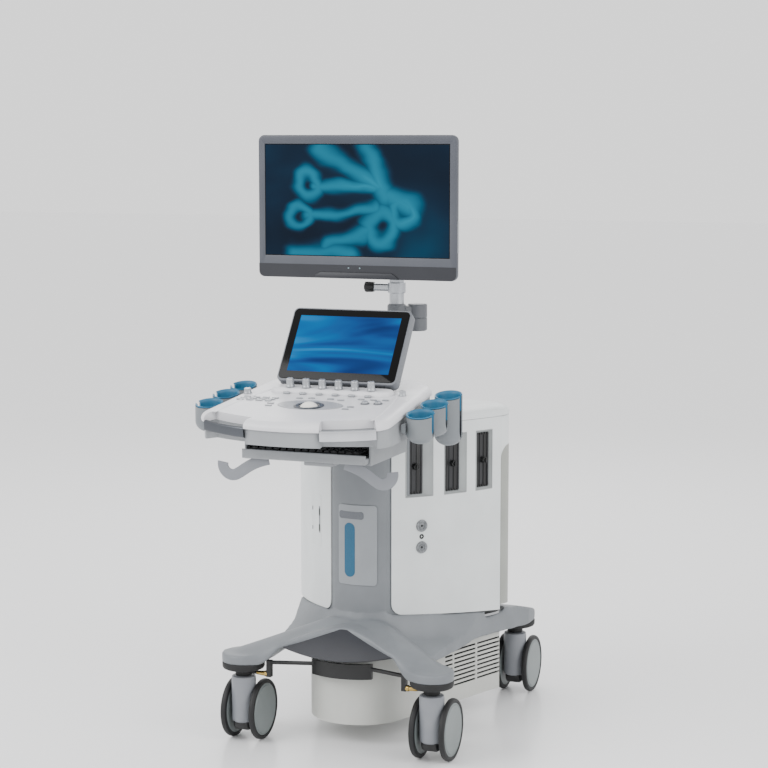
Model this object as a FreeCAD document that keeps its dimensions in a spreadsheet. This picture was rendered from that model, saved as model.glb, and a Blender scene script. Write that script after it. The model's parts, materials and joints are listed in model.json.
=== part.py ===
"""A cart-mounted ultrasound machine, built as its separate physical pieces.

Millimetres, +Z up, the machine faces -Y. Heights start at the floor. Lengths along Y are worked
out from the front castor axis and then moved back by MID_Y, so that the origin is on the floor
under the middle of the machine.
"""
import FreeCAD, Part
import Sketcher
import math
import os
from FreeCAD import Placement, Rotation, Vector

doc = FreeCAD.newDocument("ultrasound_machine")
sheet = doc.addObject("Spreadsheet::Sheet", "Sizes")

SIZES = {
    # stance and castors
    "track": 491, "wheelbase": 655, "trail": 30, "wheel_r": 75, "wheel_w": 14.5,
    "wheel_gap": 1, "tyre_t": 11, "axle_r": 6, "fork_r": 29.5, "fork_z": 50, "fork_top": 165,
    "stem_r": 8, "stem_low": 130, "neck_r": 20, "pad_r": 52, "pad_low": 183, "leg_low": 200,
    "run_gap": 0.05, "move_gap": 0.5, "seam_gap": 0.6,
    # cast base
    "leg_r": 53, "deck_front_y": 50, "toe_x": 141, "deck_rear_y": 738, "arch_z": 240,
    "arch_x": 150, "boss_x": 192, "deck_toe_z": 248, "deck_nose_z": 306, "deck_back_z": 266,
    "deck_heel_z": 222, "web_front_z": 236, "well_z": 262, "apron_t": 6,
    # tapered upright housing
    "nose_front": 131.8, "nose_r": 120.3, "nose_angle": 40, "flank_r": 725, "flank_angle": 66.5,
    "corner_r": 80, "skin": 3, "pillar_t": 8, "pillar_top": 742, "panel_top": 777,
    "lid_t": 8, "dome_z": 805, "dome_inset": 60, "badge_w": 101, "badge_low": 381,
    "badge_high": 581, "badge_t": 2,
    # sockets on the right flank
    "port_z": 672, "port_w": 43, "port_tall": 138, "port_depth": 22, "port_step": 8,
    "frame_edge": 7, "frame_depth": 30, "lock_r": 8, "lock_len": 13, "ecg_r": 15, "ecg_z": 497,
    "ecg_pitch": 27,
    # lower housing and what is inside
    "drum_front": 39, "drum_r": 124, "drum_angle": 20, "drum_rear": 520, "drum_corner": 40,
    "drum_low": 55, "vent_rows": 9, "vent_pitch": 11.3, "vent_tall": 5, "vent_low": 96,
    "mast_r": 50, "mast_wall": 5, "rack_w": 250, "rack_d": 165, "rack_tall": 420, "fan_w": 120,
    "fan_t": 38,
    # brake
    "cam_z": 174, "pedal_r": 150, "pedal_t": 8, "pedal_tall": 37, "pedal_x": 78, "rod_r": 5,
    "elbow_x": 170, "cam_r": 4,
    # console, on a deck that leans back
    "console_y": -158, "console_z": 862, "console_tilt": 6, "bow_front": 172, "bow_r": 444,
    "console_w": 464, "console_rear_w": 428, "rear_y": 340, "rim_t": 20, "rim_inset": 14,
    "floor_z": 790, "swivel_r": 115, "grip_t": 12, "finger_gap": 24, "grip_tall": 25,
    "shelf_tall": 11, "shelf_w": 304, "ball_r": 25, "ball_drop": 14, "ring_a": 80, "ring_b": 44,
    "knob_r": 9, "knob_tall": 22, "knob_pitch": 41.3, "knob_y": 131, "button_r": 7.5,
    "button_tall": 8,
    # keyboard tray
    "tray_w": 306, "tray_front": 195, "tray_d": 245, "tray_low": 738, "tray_t": 14, "rail_t": 4,
    "keys_w": 280, "keys_d": 150, "keys_tall": 14, "hook_w": 36, "hook_t": 3, "hook_r": 26,
    # probe cups
    "cup_r": 33, "cup_wall": 3, "cup_slot": 22, "liner_t": 2.5,
    # touch panel
    "touch_w": 306, "touch_h": 203, "touch_t": 28, "glass_w": 296, "glass_h": 195,
    "glass_t": 2, "touch_z": 902, "touch_lean": 54.5, "hinge_r": 4,
    # monitor and its arm
    "arm_y": 215, "hub_r": 30, "elbow_x2": 115, "elbow_y2": 250, "post_x": 74, "post_r": 18,
    "arm_z": 902, "link_z": 1036, "head_z": 1262, "tilt_z": 1300, "monitor_w": 513,
    "monitor_h": 345, "monitor_z": 1308, "monitor_y": 132, "bezel_t": 16, "back_t": 28,
    "screen_w": 478, "screen_h": 270, "screen_z": 1324, "tilt_pin_r": 6,
}

MID_Y = "(Sizes.wheelbase + Sizes.trail + Sizes.wheel_r - 330) / 2"
PORT_ANGLES = (45.5, 54.0, 61.7)
CUPS = ((-136, 851, 65), (-43, 862, 72), (55, 871, 116))
BUTTONS = ((120, 47), (150, 52))
nodes = []


def fill_sheet():
    """Writes each driving size as text into column A and gives its cell the size's name."""
    for row, (name, value) in enumerate(SIZES.items(), start=1):
        sheet.set(f"A{row}", str(value))
        sheet.setAlias(f"A{row}", name)
    doc.recompute()


def cell(name):
    """The number that the sheet holds for one size."""
    return float(sheet.get(name))


def num(expression):
    """The present value of an expression on the sheet."""
    value = sheet.evalExpression(str(expression))
    return float(getattr(value, "Value", value))


def mid_y():
    """How far the front castor axis lies in front of the origin."""
    return num(MID_Y)


def move(obj, x="0", y="0", z="0"):
    """Ties an object's place to expressions."""
    for axis, expression in zip("xyz", (x, y, z)):
        obj.setExpression(f"Placement.Base.{axis}", str(expression))
    return obj


def turn(obj, axis, angle):
    """Turns an object in place."""
    obj.Placement = Placement(obj.Placement.Base, Rotation(Vector(*axis), angle))
    return obj


def publish(obj, label, x="0", y="0", z="0"):
    """Makes an object one of the machine's nodes, in the machine's own frame."""
    move(obj, x, f"{y} - ({MID_Y})", z)
    obj.Label = label
    nodes.append(obj)
    return obj


def publish_shape(shape, label, base=Vector(0, 0, 0), lean=0.0):
    """Keeps a computed shape as a node, leaning about X and standing at base."""
    obj = doc.addObject("Part::Feature", "shape_" + label)
    obj.Shape = shape
    stand = Placement(base - Vector(0, mid_y(), 0), Rotation(Vector(1, 0, 0), lean))
    obj.Placement = stand.multiply(shape.Placement)
    obj.Label = label
    nodes.append(obj)
    return obj


def box(size, at):
    """A block whose sizes and lowest corner are expressions."""
    obj = doc.addObject("Part::Box", "block")
    for prop, expression in zip(("Length", "Width", "Height"), size):
        obj.setExpression(prop, str(expression))
    return move(obj, *at)


def rod(radius, length, at, axis="z"):
    """A cylinder from at, along an axis."""
    obj = doc.addObject("Part::Cylinder", "rod")
    obj.setExpression("Radius", str(radius))
    obj.setExpression("Height", str(length))
    if axis == "x":
        turn(obj, (0, 1, 0), 90)
    if axis == "y":
        turn(obj, (1, 0, 0), -90)
    return move(obj, *at)


def fuse(*parts):
    """One object out of several that touch."""
    obj = doc.addObject("Part::MultiFuse", "fused")
    obj.Shapes = list(parts)
    obj.Refine = True
    return obj


def cut(base, *tools):
    """Takes the tools out of the base."""
    obj = doc.addObject("Part::Cut", "cut")
    obj.Base = base
    obj.Tool = tools[0] if len(tools) == 1 else fuse(*tools)
    return obj


def group(*parts):
    """Separate solids that share one node."""
    obj = doc.addObject("Part::Compound", "group")
    obj.Links = list(parts)
    return obj


def plane(body, role):
    """One of a body's own origin planes."""
    return [f for f in body.Origin.OriginFeatures if f.Role == role][0]


def polygon_sketch(body, role, points):
    """A closed outline on an origin plane, each corner tied to two expressions."""
    sketch = body.newObject("Sketcher::SketchObject", "outline")
    sketch.AttachmentSupport = (plane(body, role), [""])
    sketch.MapMode = "FlatFace"
    corners = [Vector(num(x), num(y), 0) for x, y in points]
    count = len(corners)
    for i, corner in enumerate(corners):
        sketch.addGeometry(Part.LineSegment(corner, corners[(i + 1) % count]), False)
    for i in range(count):
        sketch.addConstraint(Sketcher.Constraint("Coincident", i, 2, (i + 1) % count, 1))
    for i, (x, y) in enumerate(points):
        for kind, expression in (("DistanceX", x), ("DistanceY", y)):
            value = num(expression)
            index = sketch.addConstraint(Sketcher.Constraint(kind, -1, 1, i, 1, value))
            sketch.setExpression(f"Constraints[{index}]", str(expression))
    return sketch


def turned(name, profile):
    """A body turned about its own Z from a profile of (radius, height) corners."""
    body = doc.addObject("PartDesign::Body", name)
    sketch = polygon_sketch(body, "XZ_Plane", profile)
    revolution = body.newObject("PartDesign::Revolution", "turning")
    revolution.Profile = sketch
    revolution.ReferenceAxis = (sketch, ["V_Axis"])
    revolution.Angle = 360
    doc.recompute()
    return body


def plate(name, outline, thickness, corner=None):
    """A body padded from an outline in X and Y, its upright edges rounded."""
    body = doc.addObject("PartDesign::Body", name)
    sketch = polygon_sketch(body, "XY_Plane", outline)
    pad = body.newObject("PartDesign::Pad", "plate")
    pad.Profile = sketch
    pad.setExpression("Length", str(thickness))
    doc.recompute()
    if corner:
        uprights = [f"Edge{i + 1}" for i, edge in enumerate(pad.Shape.Edges)
                    if abs(edge.tangentAt(edge.FirstParameter).z) > 0.99]
        fillet = body.newObject("PartDesign::Fillet", "corners")
        fillet.Base = (pad, uprights)
        fillet.setExpression("Radius", str(corner))
        doc.recompute()
    return body


def rectangle(width, height, low="0"):
    """The corners of a rectangle centred in X that starts at low in Y."""
    left, right, top = f"-({width}) / 2", f"({width}) / 2", f"({low}) + ({height})"
    return [(left, low), (right, low), (right, top), (left, top)]


def prism(points, low, high):
    """A solid over a flat outline in X and Y."""
    corners = [Vector(x, y, low) for x, y in points]
    face = Part.Face(Part.makePolygon(corners + corners[:1]))
    return face.extrude(Vector(0, 0, high - low))


def side_prism(points, half_width=400):
    """A solid over an outline in Y and Z, as wide as the machine."""
    corners = [Vector(-half_width, y, z) for y, z in points]
    face = Part.Face(Part.makePolygon(corners + corners[:1]))
    return face.extrude(Vector(2 * half_width, 0, 0))


def front_prism(points, y_low, y_high):
    """A solid over an outline in X and Z."""
    corners = [Vector(x, y_low, z) for x, z in points]
    face = Part.Face(Part.makePolygon(corners + corners[:1]))
    return face.extrude(Vector(0, y_high - y_low, 0))


def along(centre, radius, angle):
    """The point of a circle where its outward side faces angle degrees from -Y towards +X."""
    turn_by = math.radians(angle)
    return (centre[0] + radius * math.sin(turn_by), centre[1] - radius * math.cos(turn_by))


def nose_centre():
    """Centre of the housing's round front, which is also the console's swivel axis."""
    return (0.0, cell("nose_front") + cell("nose_r"))


def flank_centre():
    """Centre of the right flank's long arc, tangent to the nose."""
    edge = along(nose_centre(), cell("nose_r"), cell("nose_angle"))
    return along(edge, -cell("flank_r"), cell("nose_angle"))


def corner_centre():
    """Centre of the rear right corner, tangent to the flank and to the rear."""
    return along(flank_centre(), cell("flank_r") - cell("corner_r"), cell("flank_angle"))


def rear_y():
    """Where the upright housing ends at the back."""
    return corner_centre()[1] + cell("corner_r")


def arc_edge(start, middle, end, height):
    """An arc through three plan points."""
    ends = [Vector(p[0], p[1], height) for p in (start, middle, end)]
    return Part.Arc(*ends).toShape()


def line_edge(start, end, height):
    """A straight plan edge."""
    return Part.makeLine(Vector(start[0], start[1], height), Vector(end[0], end[1], height))


def mirrored(point):
    """The same plan point on the other side."""
    return (-point[0], point[1])


def housing_plan(inset, height):
    """The upright housing's closed plan, moved inwards."""
    nose = nose_centre()
    flank = flank_centre()
    corner = corner_centre()
    nose_r = cell("nose_r") - inset
    flank_r = cell("flank_r") - inset
    corner_r = cell("corner_r") - inset
    start = along(nose, nose_r, cell("nose_angle"))
    end = along(flank, flank_r, cell("flank_angle"))
    middle = along(flank, flank_r, (cell("nose_angle") + cell("flank_angle")) / 2)
    bend = along(corner, corner_r, (cell("flank_angle") + 180) / 2)
    back = along(corner, corner_r, 180)
    front = along(nose, nose_r, 0)
    edges = [
        arc_edge(mirrored(start), front, start, height),
        arc_edge(start, middle, end, height),
        arc_edge(end, bend, back, height),
        line_edge(back, mirrored(back), height),
        arc_edge(mirrored(back), mirrored(bend), mirrored(end), height),
        arc_edge(mirrored(end), mirrored(middle), mirrored(start), height),
    ]
    return Part.Wire(edges)


def housing_wall(inset, thickness, low, high):
    """An upright wall all round the housing."""
    outer = Part.Face(housing_plan(inset, low)).extrude(Vector(0, 0, high - low))
    inner = Part.Face(housing_plan(inset + thickness, low)).extrude(Vector(0, 0, high - low))
    return outer.cut(inner)


def on_flank(shape, side, angle, depth, height):
    """Places a shape made about the origin on a flank: X along the wall, Y into it."""
    x, y = along(flank_centre(), cell("flank_r") - depth, angle)
    placed = shape.copy()
    placed.Placement = Placement(Vector(x, y, height), Rotation(Vector(0, 0, 1), angle))
    if side < 0:
        placed = placed.mirror(Vector(0, 0, 0), Vector(1, 0, 0))
    return placed


def block(width, depth, tall, front=0.0):
    """A block about the origin, centred in X and Z, from front in Y."""
    return Part.makeBox(width, depth, tall, Vector(-width / 2, front, -tall / 2))


def make_base_casting():
    """The cross-shaped casting with the pillar that carries everything."""
    half_track = cell("track") / 2
    toe_r = cell("leg_r")
    rear = cell("wheelbase")
    lean = math.radians(60)
    dx, dy = toe_r * math.cos(lean), toe_r * math.sin(lean)
    apex = (0, cell("deck_front_y"))
    toe = (cell("toe_x"), 0)
    inner = (half_track - dx, -dy)
    tip = (half_track + toe_r * math.cos(math.radians(30)), -toe_r / 2)
    outer = (half_track + dx, dy)
    waist = (half_track - 40, 85)
    belly = (half_track - 6, rear / 2)
    hip = (half_track + toe_r, rear - 50)
    heel = (half_track + toe_r, rear)
    heel_bend = (half_track + toe_r * 0.72, rear + toe_r * 0.72)
    heel_end = (half_track - 10, rear + toe_r + 10)
    tail = (half_track - 70, cell("deck_rear_y"))
    right = [
        line_edge(apex, toe, 0), line_edge(toe, inner, 0), arc_edge(inner, tip, outer, 0),
        line_edge(outer, waist, 0), arc_edge(waist, belly, hip, 0), line_edge(hip, heel, 0),
        arc_edge(heel, heel_bend, heel_end, 0), line_edge(heel_end, tail, 0),
    ]
    left = [edge.mirror(Vector(0, 0, 0), Vector(1, 0, 0)) for edge in right]
    tail_edge = line_edge(tail, mirrored(tail), 0)
    outline = Part.Wire(Part.__sortEdges__(right + left + [tail_edge]))
    body = Part.Face(outline).extrude(Vector(0, 0, 400))
    low = cell("leg_low")
    profile = [
        (-80, low), (60, low), (92, cell("web_front_z")), (rear - 60, low), (rear + 120, low),
        (rear + 120, cell("deck_heel_z") - 12), (rear + 45, cell("deck_heel_z")),
        (rear_y(), cell("deck_back_z")), (160, cell("deck_nose_z")), (120, 300),
        (60, cell("deck_toe_z") + 26), (-10, cell("deck_toe_z")), (-80, cell("deck_toe_z") - 16),
    ]
    body = body.common(side_prism(profile))
    arch = [(-cell("boss_x"), low - 10), (-cell("boss_x"), low), (-cell("arch_x"), cell("arch_z")),
            (cell("arch_x"), cell("arch_z")), (cell("boss_x"), low), (cell("boss_x"), low - 10)]
    body = body.cut(front_prism(arch, -90, 92))
    well = Part.Face(housing_plan(cell("pillar_t") + 2, cell("well_z")))
    body = body.cut(well.extrude(Vector(0, 0, 100)))
    wall = housing_wall(0, cell("pillar_t"), cell("well_z"), cell("pillar_top"))
    edge_x, edge_y = along(nose_centre(), cell("nose_r"), cell("nose_angle"))
    front = Part.makeBox(2 * edge_x - 2, edge_y, 600, Vector(1 - edge_x, 0, cell("well_z")))
    pillar = wall.common(front)
    badge = badge_shape(cell("badge_t") + 0.2, 0.4)
    publish_shape(body.fuse(pillar).cut(badge).removeSplitter(), "base_casting")


def badge_shape(depth, grow):
    """A curved plate let into the front of the pillar."""
    width = cell("badge_w") + 2 * grow
    low = cell("badge_low") - grow
    high = cell("badge_high") + grow
    wall = housing_wall(0, depth, low, high)
    front = Part.makeBox(width, 200, high - low, Vector(-width / 2, 0, low))
    return wall.common(front)


def make_castor_mounts():
    """Four rubber pads under the legs, each with its castor's neck and stem."""
    mounts = []
    for y in ("0", "Sizes.wheelbase"):
        for side in ("-1", "1"):
            x = f"{side} * Sizes.track / 2"
            pad = rod("Sizes.pad_r", "Sizes.leg_low - Sizes.pad_low", (x, y, "Sizes.pad_low"))
            neck = rod("Sizes.neck_r", "Sizes.pad_low - Sizes.fork_top - Sizes.move_gap",
                       (x, y, "Sizes.fork_top + Sizes.move_gap"))
            stem = rod("Sizes.stem_r", "Sizes.pad_low - Sizes.stem_low", (x, y, "Sizes.stem_low"))
            hole = rod("Sizes.cam_r + Sizes.run_gap", "20",
                       (f"{x} + ({side}) * -12 - 10", y, "Sizes.cam_z"), "x")
            mounts.append(cut(fuse(pad, neck, stem), hole) if y == "0" else fuse(pad, neck, stem))
    publish(group(*mounts), "castor_mounts")


def make_castor(corner, x, y):
    """One twin-wheel castor: fork, wheels on their axle, and tyres."""
    axle_y = f"{y} + Sizes.trail"
    barrel = rod("Sizes.fork_r", "Sizes.fork_top - Sizes.fork_z", (x, y, "Sizes.fork_z"))
    web = box(("28", "Sizes.trail + 14", "54"), (f"{x} - 14", y, "Sizes.wheel_r - 20"))
    boss = rod("16", "40", (f"{x} - 20", axle_y, "Sizes.wheel_r"), "x")
    stem_hole = rod("Sizes.stem_r + Sizes.run_gap", "Sizes.fork_top - Sizes.stem_low + 3",
                    (x, y, "Sizes.stem_low - 2"))
    axle_hole = rod("Sizes.axle_r + Sizes.run_gap", "60", (f"{x} - 30", axle_y, "Sizes.wheel_r"),
                    "x")
    fork = cut(fuse(barrel, web, boss), stem_hole, axle_hole)
    publish(fork, f"castor_fork_{corner}")
    inside = "(Sizes.fork_r + Sizes.wheel_gap)"
    face = f"{inside} + Sizes.wheel_w"
    rim = "Sizes.wheel_r - Sizes.tyre_t"
    profile = [
        ("0", f"-({face})"), (rim, f"-({face})"), (rim, f"-{inside}"),
        ("Sizes.axle_r", f"-{inside}"), ("Sizes.axle_r", inside),
        (rim, inside), (rim, face), ("0", face),
    ]
    wheels = turned("wheels_" + corner, profile)
    turn(wheels, (0, 1, 0), 90)
    publish(wheels, f"castor_wheels_{corner}", x, axle_y, "Sizes.wheel_r")
    tyres = []
    for start in (f"-({face})", inside):
        at = (f"{x} + {start}", axle_y, "Sizes.wheel_r")
        whole = rod("Sizes.wheel_r", "Sizes.wheel_w", at, "x")
        hole = rod(f"{rim} + 0.02", "Sizes.wheel_w", at, "x")
        tyres.append(cut(whole, hole))
    publish(group(*tyres), f"castor_tyres_{corner}")


def make_brake_bar():
    """The pedal, its two rods and the pins that work the front castors' locks."""
    centre = Vector(0, cell("drum_front") + cell("drum_r"), 0)
    low = cell("cam_z") + 1
    tall = cell("pedal_tall")
    outer = Part.makeCylinder(cell("pedal_r"), tall, Vector(0, centre.y, low))
    inner = Part.makeCylinder(cell("pedal_r") - cell("pedal_t"), tall, Vector(0, centre.y, low))
    half = cell("pedal_x")
    pedal = outer.cut(inner).common(Part.makeBox(2 * half, 100, tall, Vector(-half, 0, low)))
    bar = pedal
    end_y = centre.y - math.sqrt((cell("pedal_r") - cell("pedal_t") / 2) ** 2 - half ** 2)
    elbow = cell("elbow_x")
    pin_end = cell("track") / 2 - 8
    for side in (-1, 1):
        start = Vector(side * (half - 3), end_y - 1, low + tall - 12)
        end = Vector(side * (elbow + 4), 0, low + tall - 9)
        run = end - start
        bar = bar.fuse(Part.makeCylinder(cell("rod_r"), run.Length, start, run))
        block_low = cell("cam_z") - 7
        block_x = elbow if side > 0 else -elbow - 12
        bar = bar.fuse(Part.makeBox(12, 14, tall + 4, Vector(block_x, -7, block_low)))
        pin = Part.makeCylinder(cell("cam_r"), pin_end - elbow, Vector(side * elbow, 0, cell("cam_z")),
                                Vector(side, 0, 0))
        bar = bar.fuse(pin)
    publish_shape(bar.removeSplitter(), "brake_bar")


def make_foot_apron():
    """The dark sloping plate between the front legs."""
    gap = cell("seam_gap")
    toe = cell("toe_x") - 3
    apex_y = cell("deck_front_y") - gap
    plan = [(-toe, 0), (-64, -9), (0, -12), (64, -9), (toe, 0), (0, apex_y)]
    top = cell("deck_toe_z") + 40
    thick = cell("apron_t")
    slab = [(apex_y, top), (-13, top - 58), (-13, top - 58 - thick), (apex_y, top - thick)]
    publish_shape(prism(plan, 150, 400).common(side_prism(slab)), "foot_apron")


def drum_plan(inset, height):
    """The lower housing's plan: a round nose, straight diverging flanks and a flat back."""
    centre = (0.0, cell("drum_front") + cell("drum_r"))
    radius = cell("drum_r") - inset
    slope = cell("drum_angle")
    start = along(centre, radius, 90 - slope)
    rear = cell("drum_rear") - inset
    corner = cell("drum_corner")
    tangent = math.tan(math.radians(slope))
    edge_x = start[0] + (rear - start[1]) * tangent
    before = (edge_x - corner * tangent, rear - corner)
    after = (edge_x - corner, rear)
    bend = (edge_x - corner * 0.34, rear - corner * 0.29)
    edges = [
        arc_edge(mirrored(start), along(centre, radius, 0), start, height),
        line_edge(start, before, height),
        arc_edge(before, bend, after, height),
        line_edge(after, mirrored(after), height),
        arc_edge(mirrored(after), mirrored(bend), mirrored(before), height),
        line_edge(mirrored(before), mirrored(start), height),
    ]
    return Part.Wire(edges)


def make_lower_housing():
    """The tub below the deck, with rows of cooling slots in both flanks."""
    low = cell("drum_low")
    skin = cell("skin")
    outer = Part.Face(drum_plan(0, low)).extrude(Vector(0, 0, 300))
    inner = Part.Face(drum_plan(skin, low + skin)).extrude(Vector(0, 0, 300))
    rear = cell("drum_rear")
    web = cell("web_front_z") - 1
    slope = (cell("web_front_z") - cell("leg_low")) / (cell("wheelbase") - 60 - 92)
    top = [(0, low), (rear + 10, low), (rear + 10, web - slope * (rear + 10 - 92)), (92, web),
           (0, web)]
    tub = outer.cut(inner).common(side_prism(top))
    cutters = []
    angle = 90 - cell("drum_angle")
    centre = (0.0, cell("drum_front") + cell("drum_r"))
    start = along(centre, cell("drum_r"), angle)
    for row in range(int(cell("vent_rows"))):
        height = cell("vent_low") + row * cell("vent_pitch")
        for first, last in ((178, 208), (214, 300), (307, 400)):
            slot = Part.makeBox(last - first, 20, cell("vent_tall"), Vector(first, -10, 0))
            slot.Placement = Placement(Vector(start[0], start[1], height),
                                       Rotation(Vector(0, 0, 1), angle))
            cutters.append(slot)
            cutters.append(slot.mirror(Vector(0, 0, 0), Vector(1, 0, 0)))
    publish_shape(tub.cut(Part.makeCompound(cutters)), "lower_housing")


def make_insides():
    """The frame with the fixed lift tube, the electronics and a fan."""
    x, y = nose_centre()
    low = cell("well_z")
    mast_r = cell("mast_r") + cell("move_gap")
    wall = cell("mast_wall")
    tall = cell("pillar_top") - low - 2
    tube = Part.makeCylinder(mast_r + wall, tall, Vector(x, y, low))
    floor = Part.Face(housing_plan(20, low)).extrude(Vector(0, 0, 6))
    rail = Part.makeBox(20, 20, tall - 40, Vector(-10, 0, low))
    frame = floor.fuse(tube)
    for side in (-1, 1):
        post = rail.copy()
        post.translate(Vector(side * 165, rear_y() - 60, 0))
        frame = frame.fuse(post)
    bore = Part.makeCylinder(mast_r, tall, Vector(x, y, low + 6))
    publish_shape(frame.cut(bore).removeSplitter(), "chassis_frame")
    rack = box(("Sizes.rack_w", "Sizes.rack_d", "Sizes.rack_tall"), ("0", "0", "0"))
    publish(rack, "electronics_box", "-Sizes.rack_w / 2", str(rear_y() - 30 - cell("rack_d")),
            "Sizes.well_z + 8")
    shell = box(("Sizes.fan_w", "Sizes.fan_t", "Sizes.fan_w"),
                ("-Sizes.fan_w / 2", "330", "Sizes.drum_low + 10"))
    bore = rod("Sizes.fan_w / 2 - 4", "Sizes.fan_t",
               ("0", "330", "Sizes.drum_low + 10 + Sizes.fan_w / 2"), "y")
    hub = rod("20", "Sizes.fan_t - 4", ("0", "332", "Sizes.drum_low + 10 + Sizes.fan_w / 2"), "y")
    bars = box(("Sizes.fan_w - 2", "5", "8"),
               ("-Sizes.fan_w / 2 + 1", "332", "Sizes.drum_low + 6 + Sizes.fan_w / 2"))
    publish(fuse(cut(shell, bore), hub, bars), "cooling_fan")


def panel_blank(side):
    """One flank's skin between the pillar and the rear cover, its foot following the deck."""
    gap = cell("seam_gap")
    wall = housing_wall(0, cell("skin"), 200, cell("panel_top"))
    nose = along(nose_centre(), cell("nose_r"), cell("nose_angle"))
    tail = along(flank_centre(), cell("flank_r"), cell("flank_angle"))
    window = Part.makeBox(300, tail[1] - nose[1] - 2 * gap, 700,
                          Vector(nose[0] - 6, nose[1] + gap, 150))
    slope = (cell("deck_nose_z") - cell("deck_back_z")) / (rear_y() - 160)
    foot = [(100, cell("deck_nose_z") + gap + 60 * slope), (600, cell("deck_nose_z") + gap
            - 440 * slope), (600, 900), (100, 900)]
    skin = wall.common(window).common(side_prism(foot))
    return skin if side > 0 else skin.mirror(Vector(0, 0, 0), Vector(1, 0, 0))


def frame_size():
    """Outer width and height of one port frame."""
    edge = 2 * cell("frame_edge")
    return cell("port_w") + edge, cell("port_tall") + edge


def make_side_panels():
    """The two white flank skins; the right one is cut for the sockets."""
    publish_shape(panel_blank(-1), "side_panel_left")
    right = panel_blank(1)
    width, tall = frame_size()
    gap = 2 * cell("seam_gap")
    for angle in PORT_ANGLES:
        right = right.cut(on_flank(block(width + gap, 30, tall + gap, -10), 1, angle, 0,
                                   cell("port_z")))
    hole = Part.makeCylinder(cell("ecg_r") - 3, 40, Vector(0, -20, 0), Vector(0, 1, 0))
    for step in (-1, 1):
        height = cell("ecg_z") + step * cell("ecg_pitch")
        right = right.cut(on_flank(hole, 1, 46.7, 0, height))
    publish_shape(right, "side_panel_right")


def make_ports():
    """Three transducer sockets in their frames, three lock knobs and two lead sockets."""
    width, tall = frame_size()
    proud = 1.5
    clear = 0.3
    frames, sockets = [], []
    for index, angle in enumerate(PORT_ANGLES):
        rim = block(width, cell("frame_depth"), tall, -proud)
        opening = block(cell("port_w") + 2 * clear, 60, cell("port_tall") + 2 * clear, -20)
        frames.append(on_flank(rim.cut(opening), 1, angle, 0, cell("port_z")))
        socket = block(cell("port_w"), cell("port_depth"), cell("port_tall"), cell("port_step"))
        sockets.append(on_flank(socket, 1, angle, 0, cell("port_z")))
        start = cell("port_step") - cell("move_gap")
        knob = Part.makeCylinder(cell("lock_r"), cell("lock_len"), Vector(0, start, 0),
                                 Vector(0, -1, 0))
        wing = block(5, 4, 2 * cell("lock_r") - 2, start - cell("lock_len") - 4)
        publish_shape(on_flank(knob.fuse(wing), 1, angle, 0, cell("port_z")),
                      f"port_lock_{index + 1}")
    publish_shape(Part.makeCompound(frames), "port_frames")
    for step in (-1, 1):
        collar = Part.makeCylinder(cell("ecg_r"), 3, Vector(0, -3.2, 0), Vector(0, 1, 0))
        barrel = Part.makeCylinder(cell("ecg_r") - 4, 22, Vector(0, -3.2, 0), Vector(0, 1, 0))
        bore = Part.makeCylinder(cell("ecg_r") - 7, 14, Vector(0, -4, 0), Vector(0, 1, 0))
        height = cell("ecg_z") + step * cell("ecg_pitch")
        sockets.append(on_flank(collar.fuse(barrel).cut(bore), 1, 46.7, 0, height))
    publish_shape(Part.makeCompound(sockets), "transducer_ports")


def make_covers():
    """The badge plate, the domed lid and the wrap-round rear cover with its inlet."""
    gap = cell("seam_gap")
    publish_shape(badge_shape(cell("badge_t"), 0), "badge_plate")
    low = cell("panel_top") + gap
    brim = Part.Face(housing_plan(0, low)).extrude(Vector(0, 0, cell("lid_t")))
    shoulder = low + cell("lid_t")
    dome = Part.makeLoft([housing_plan(0, shoulder),
                          housing_plan(cell("dome_inset"), cell("dome_z"))], True, True)
    x, y = nose_centre()
    hole = Part.makeCylinder(cell("nose_r") + 1, 200, Vector(x, y, low - 50))
    lid = brim.fuse(dome).cut(hole)
    hollow = Part.Face(housing_plan(cell("skin"), low)).extrude(Vector(0, 0, cell("lid_t") - 3))
    publish_shape(lid.cut(hollow).removeSplitter(), "top_cover")
    tail = along(flank_centre(), cell("flank_r"), cell("flank_angle"))
    wall = housing_wall(0, cell("skin"), cell("deck_back_z") + gap + 14, cell("panel_top"))
    window = Part.makeBox(700, 300, 700, Vector(-350, tail[1] + gap, 100))
    inlet_at = Vector(-150, rear_y() - 30, cell("deck_back_z") + 60)
    inlet = Part.makeBox(50, 40, 30, inlet_at)
    cover = wall.common(window).cut(inlet)
    publish_shape(cover, "rear_cover")
    plug = Part.makeBox(49, 28, 29, inlet_at + Vector(0.5, 4, 0.5))
    socket = Part.makeBox(28, 16, 20, inlet_at + Vector(11, 18, 5))
    publish_shape(plug.cut(socket), "power_inlet")


def make_lift_column():
    """The inner tube that carries the console up, closed by a round head."""
    x, y = nose_centre()
    r = cell("mast_r")
    tube = Part.makeCylinder(r, 320, Vector(x, y, cell("pillar_top") - 320))
    bore = Part.makeCylinder(r - 4, 312, Vector(x, y, cell("pillar_top") - 320))
    head = Part.makeCylinder(r - 10, 40, Vector(x, y, cell("pillar_top")))
    publish_shape(tube.cut(bore).fuse(head), "lift_column")


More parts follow.
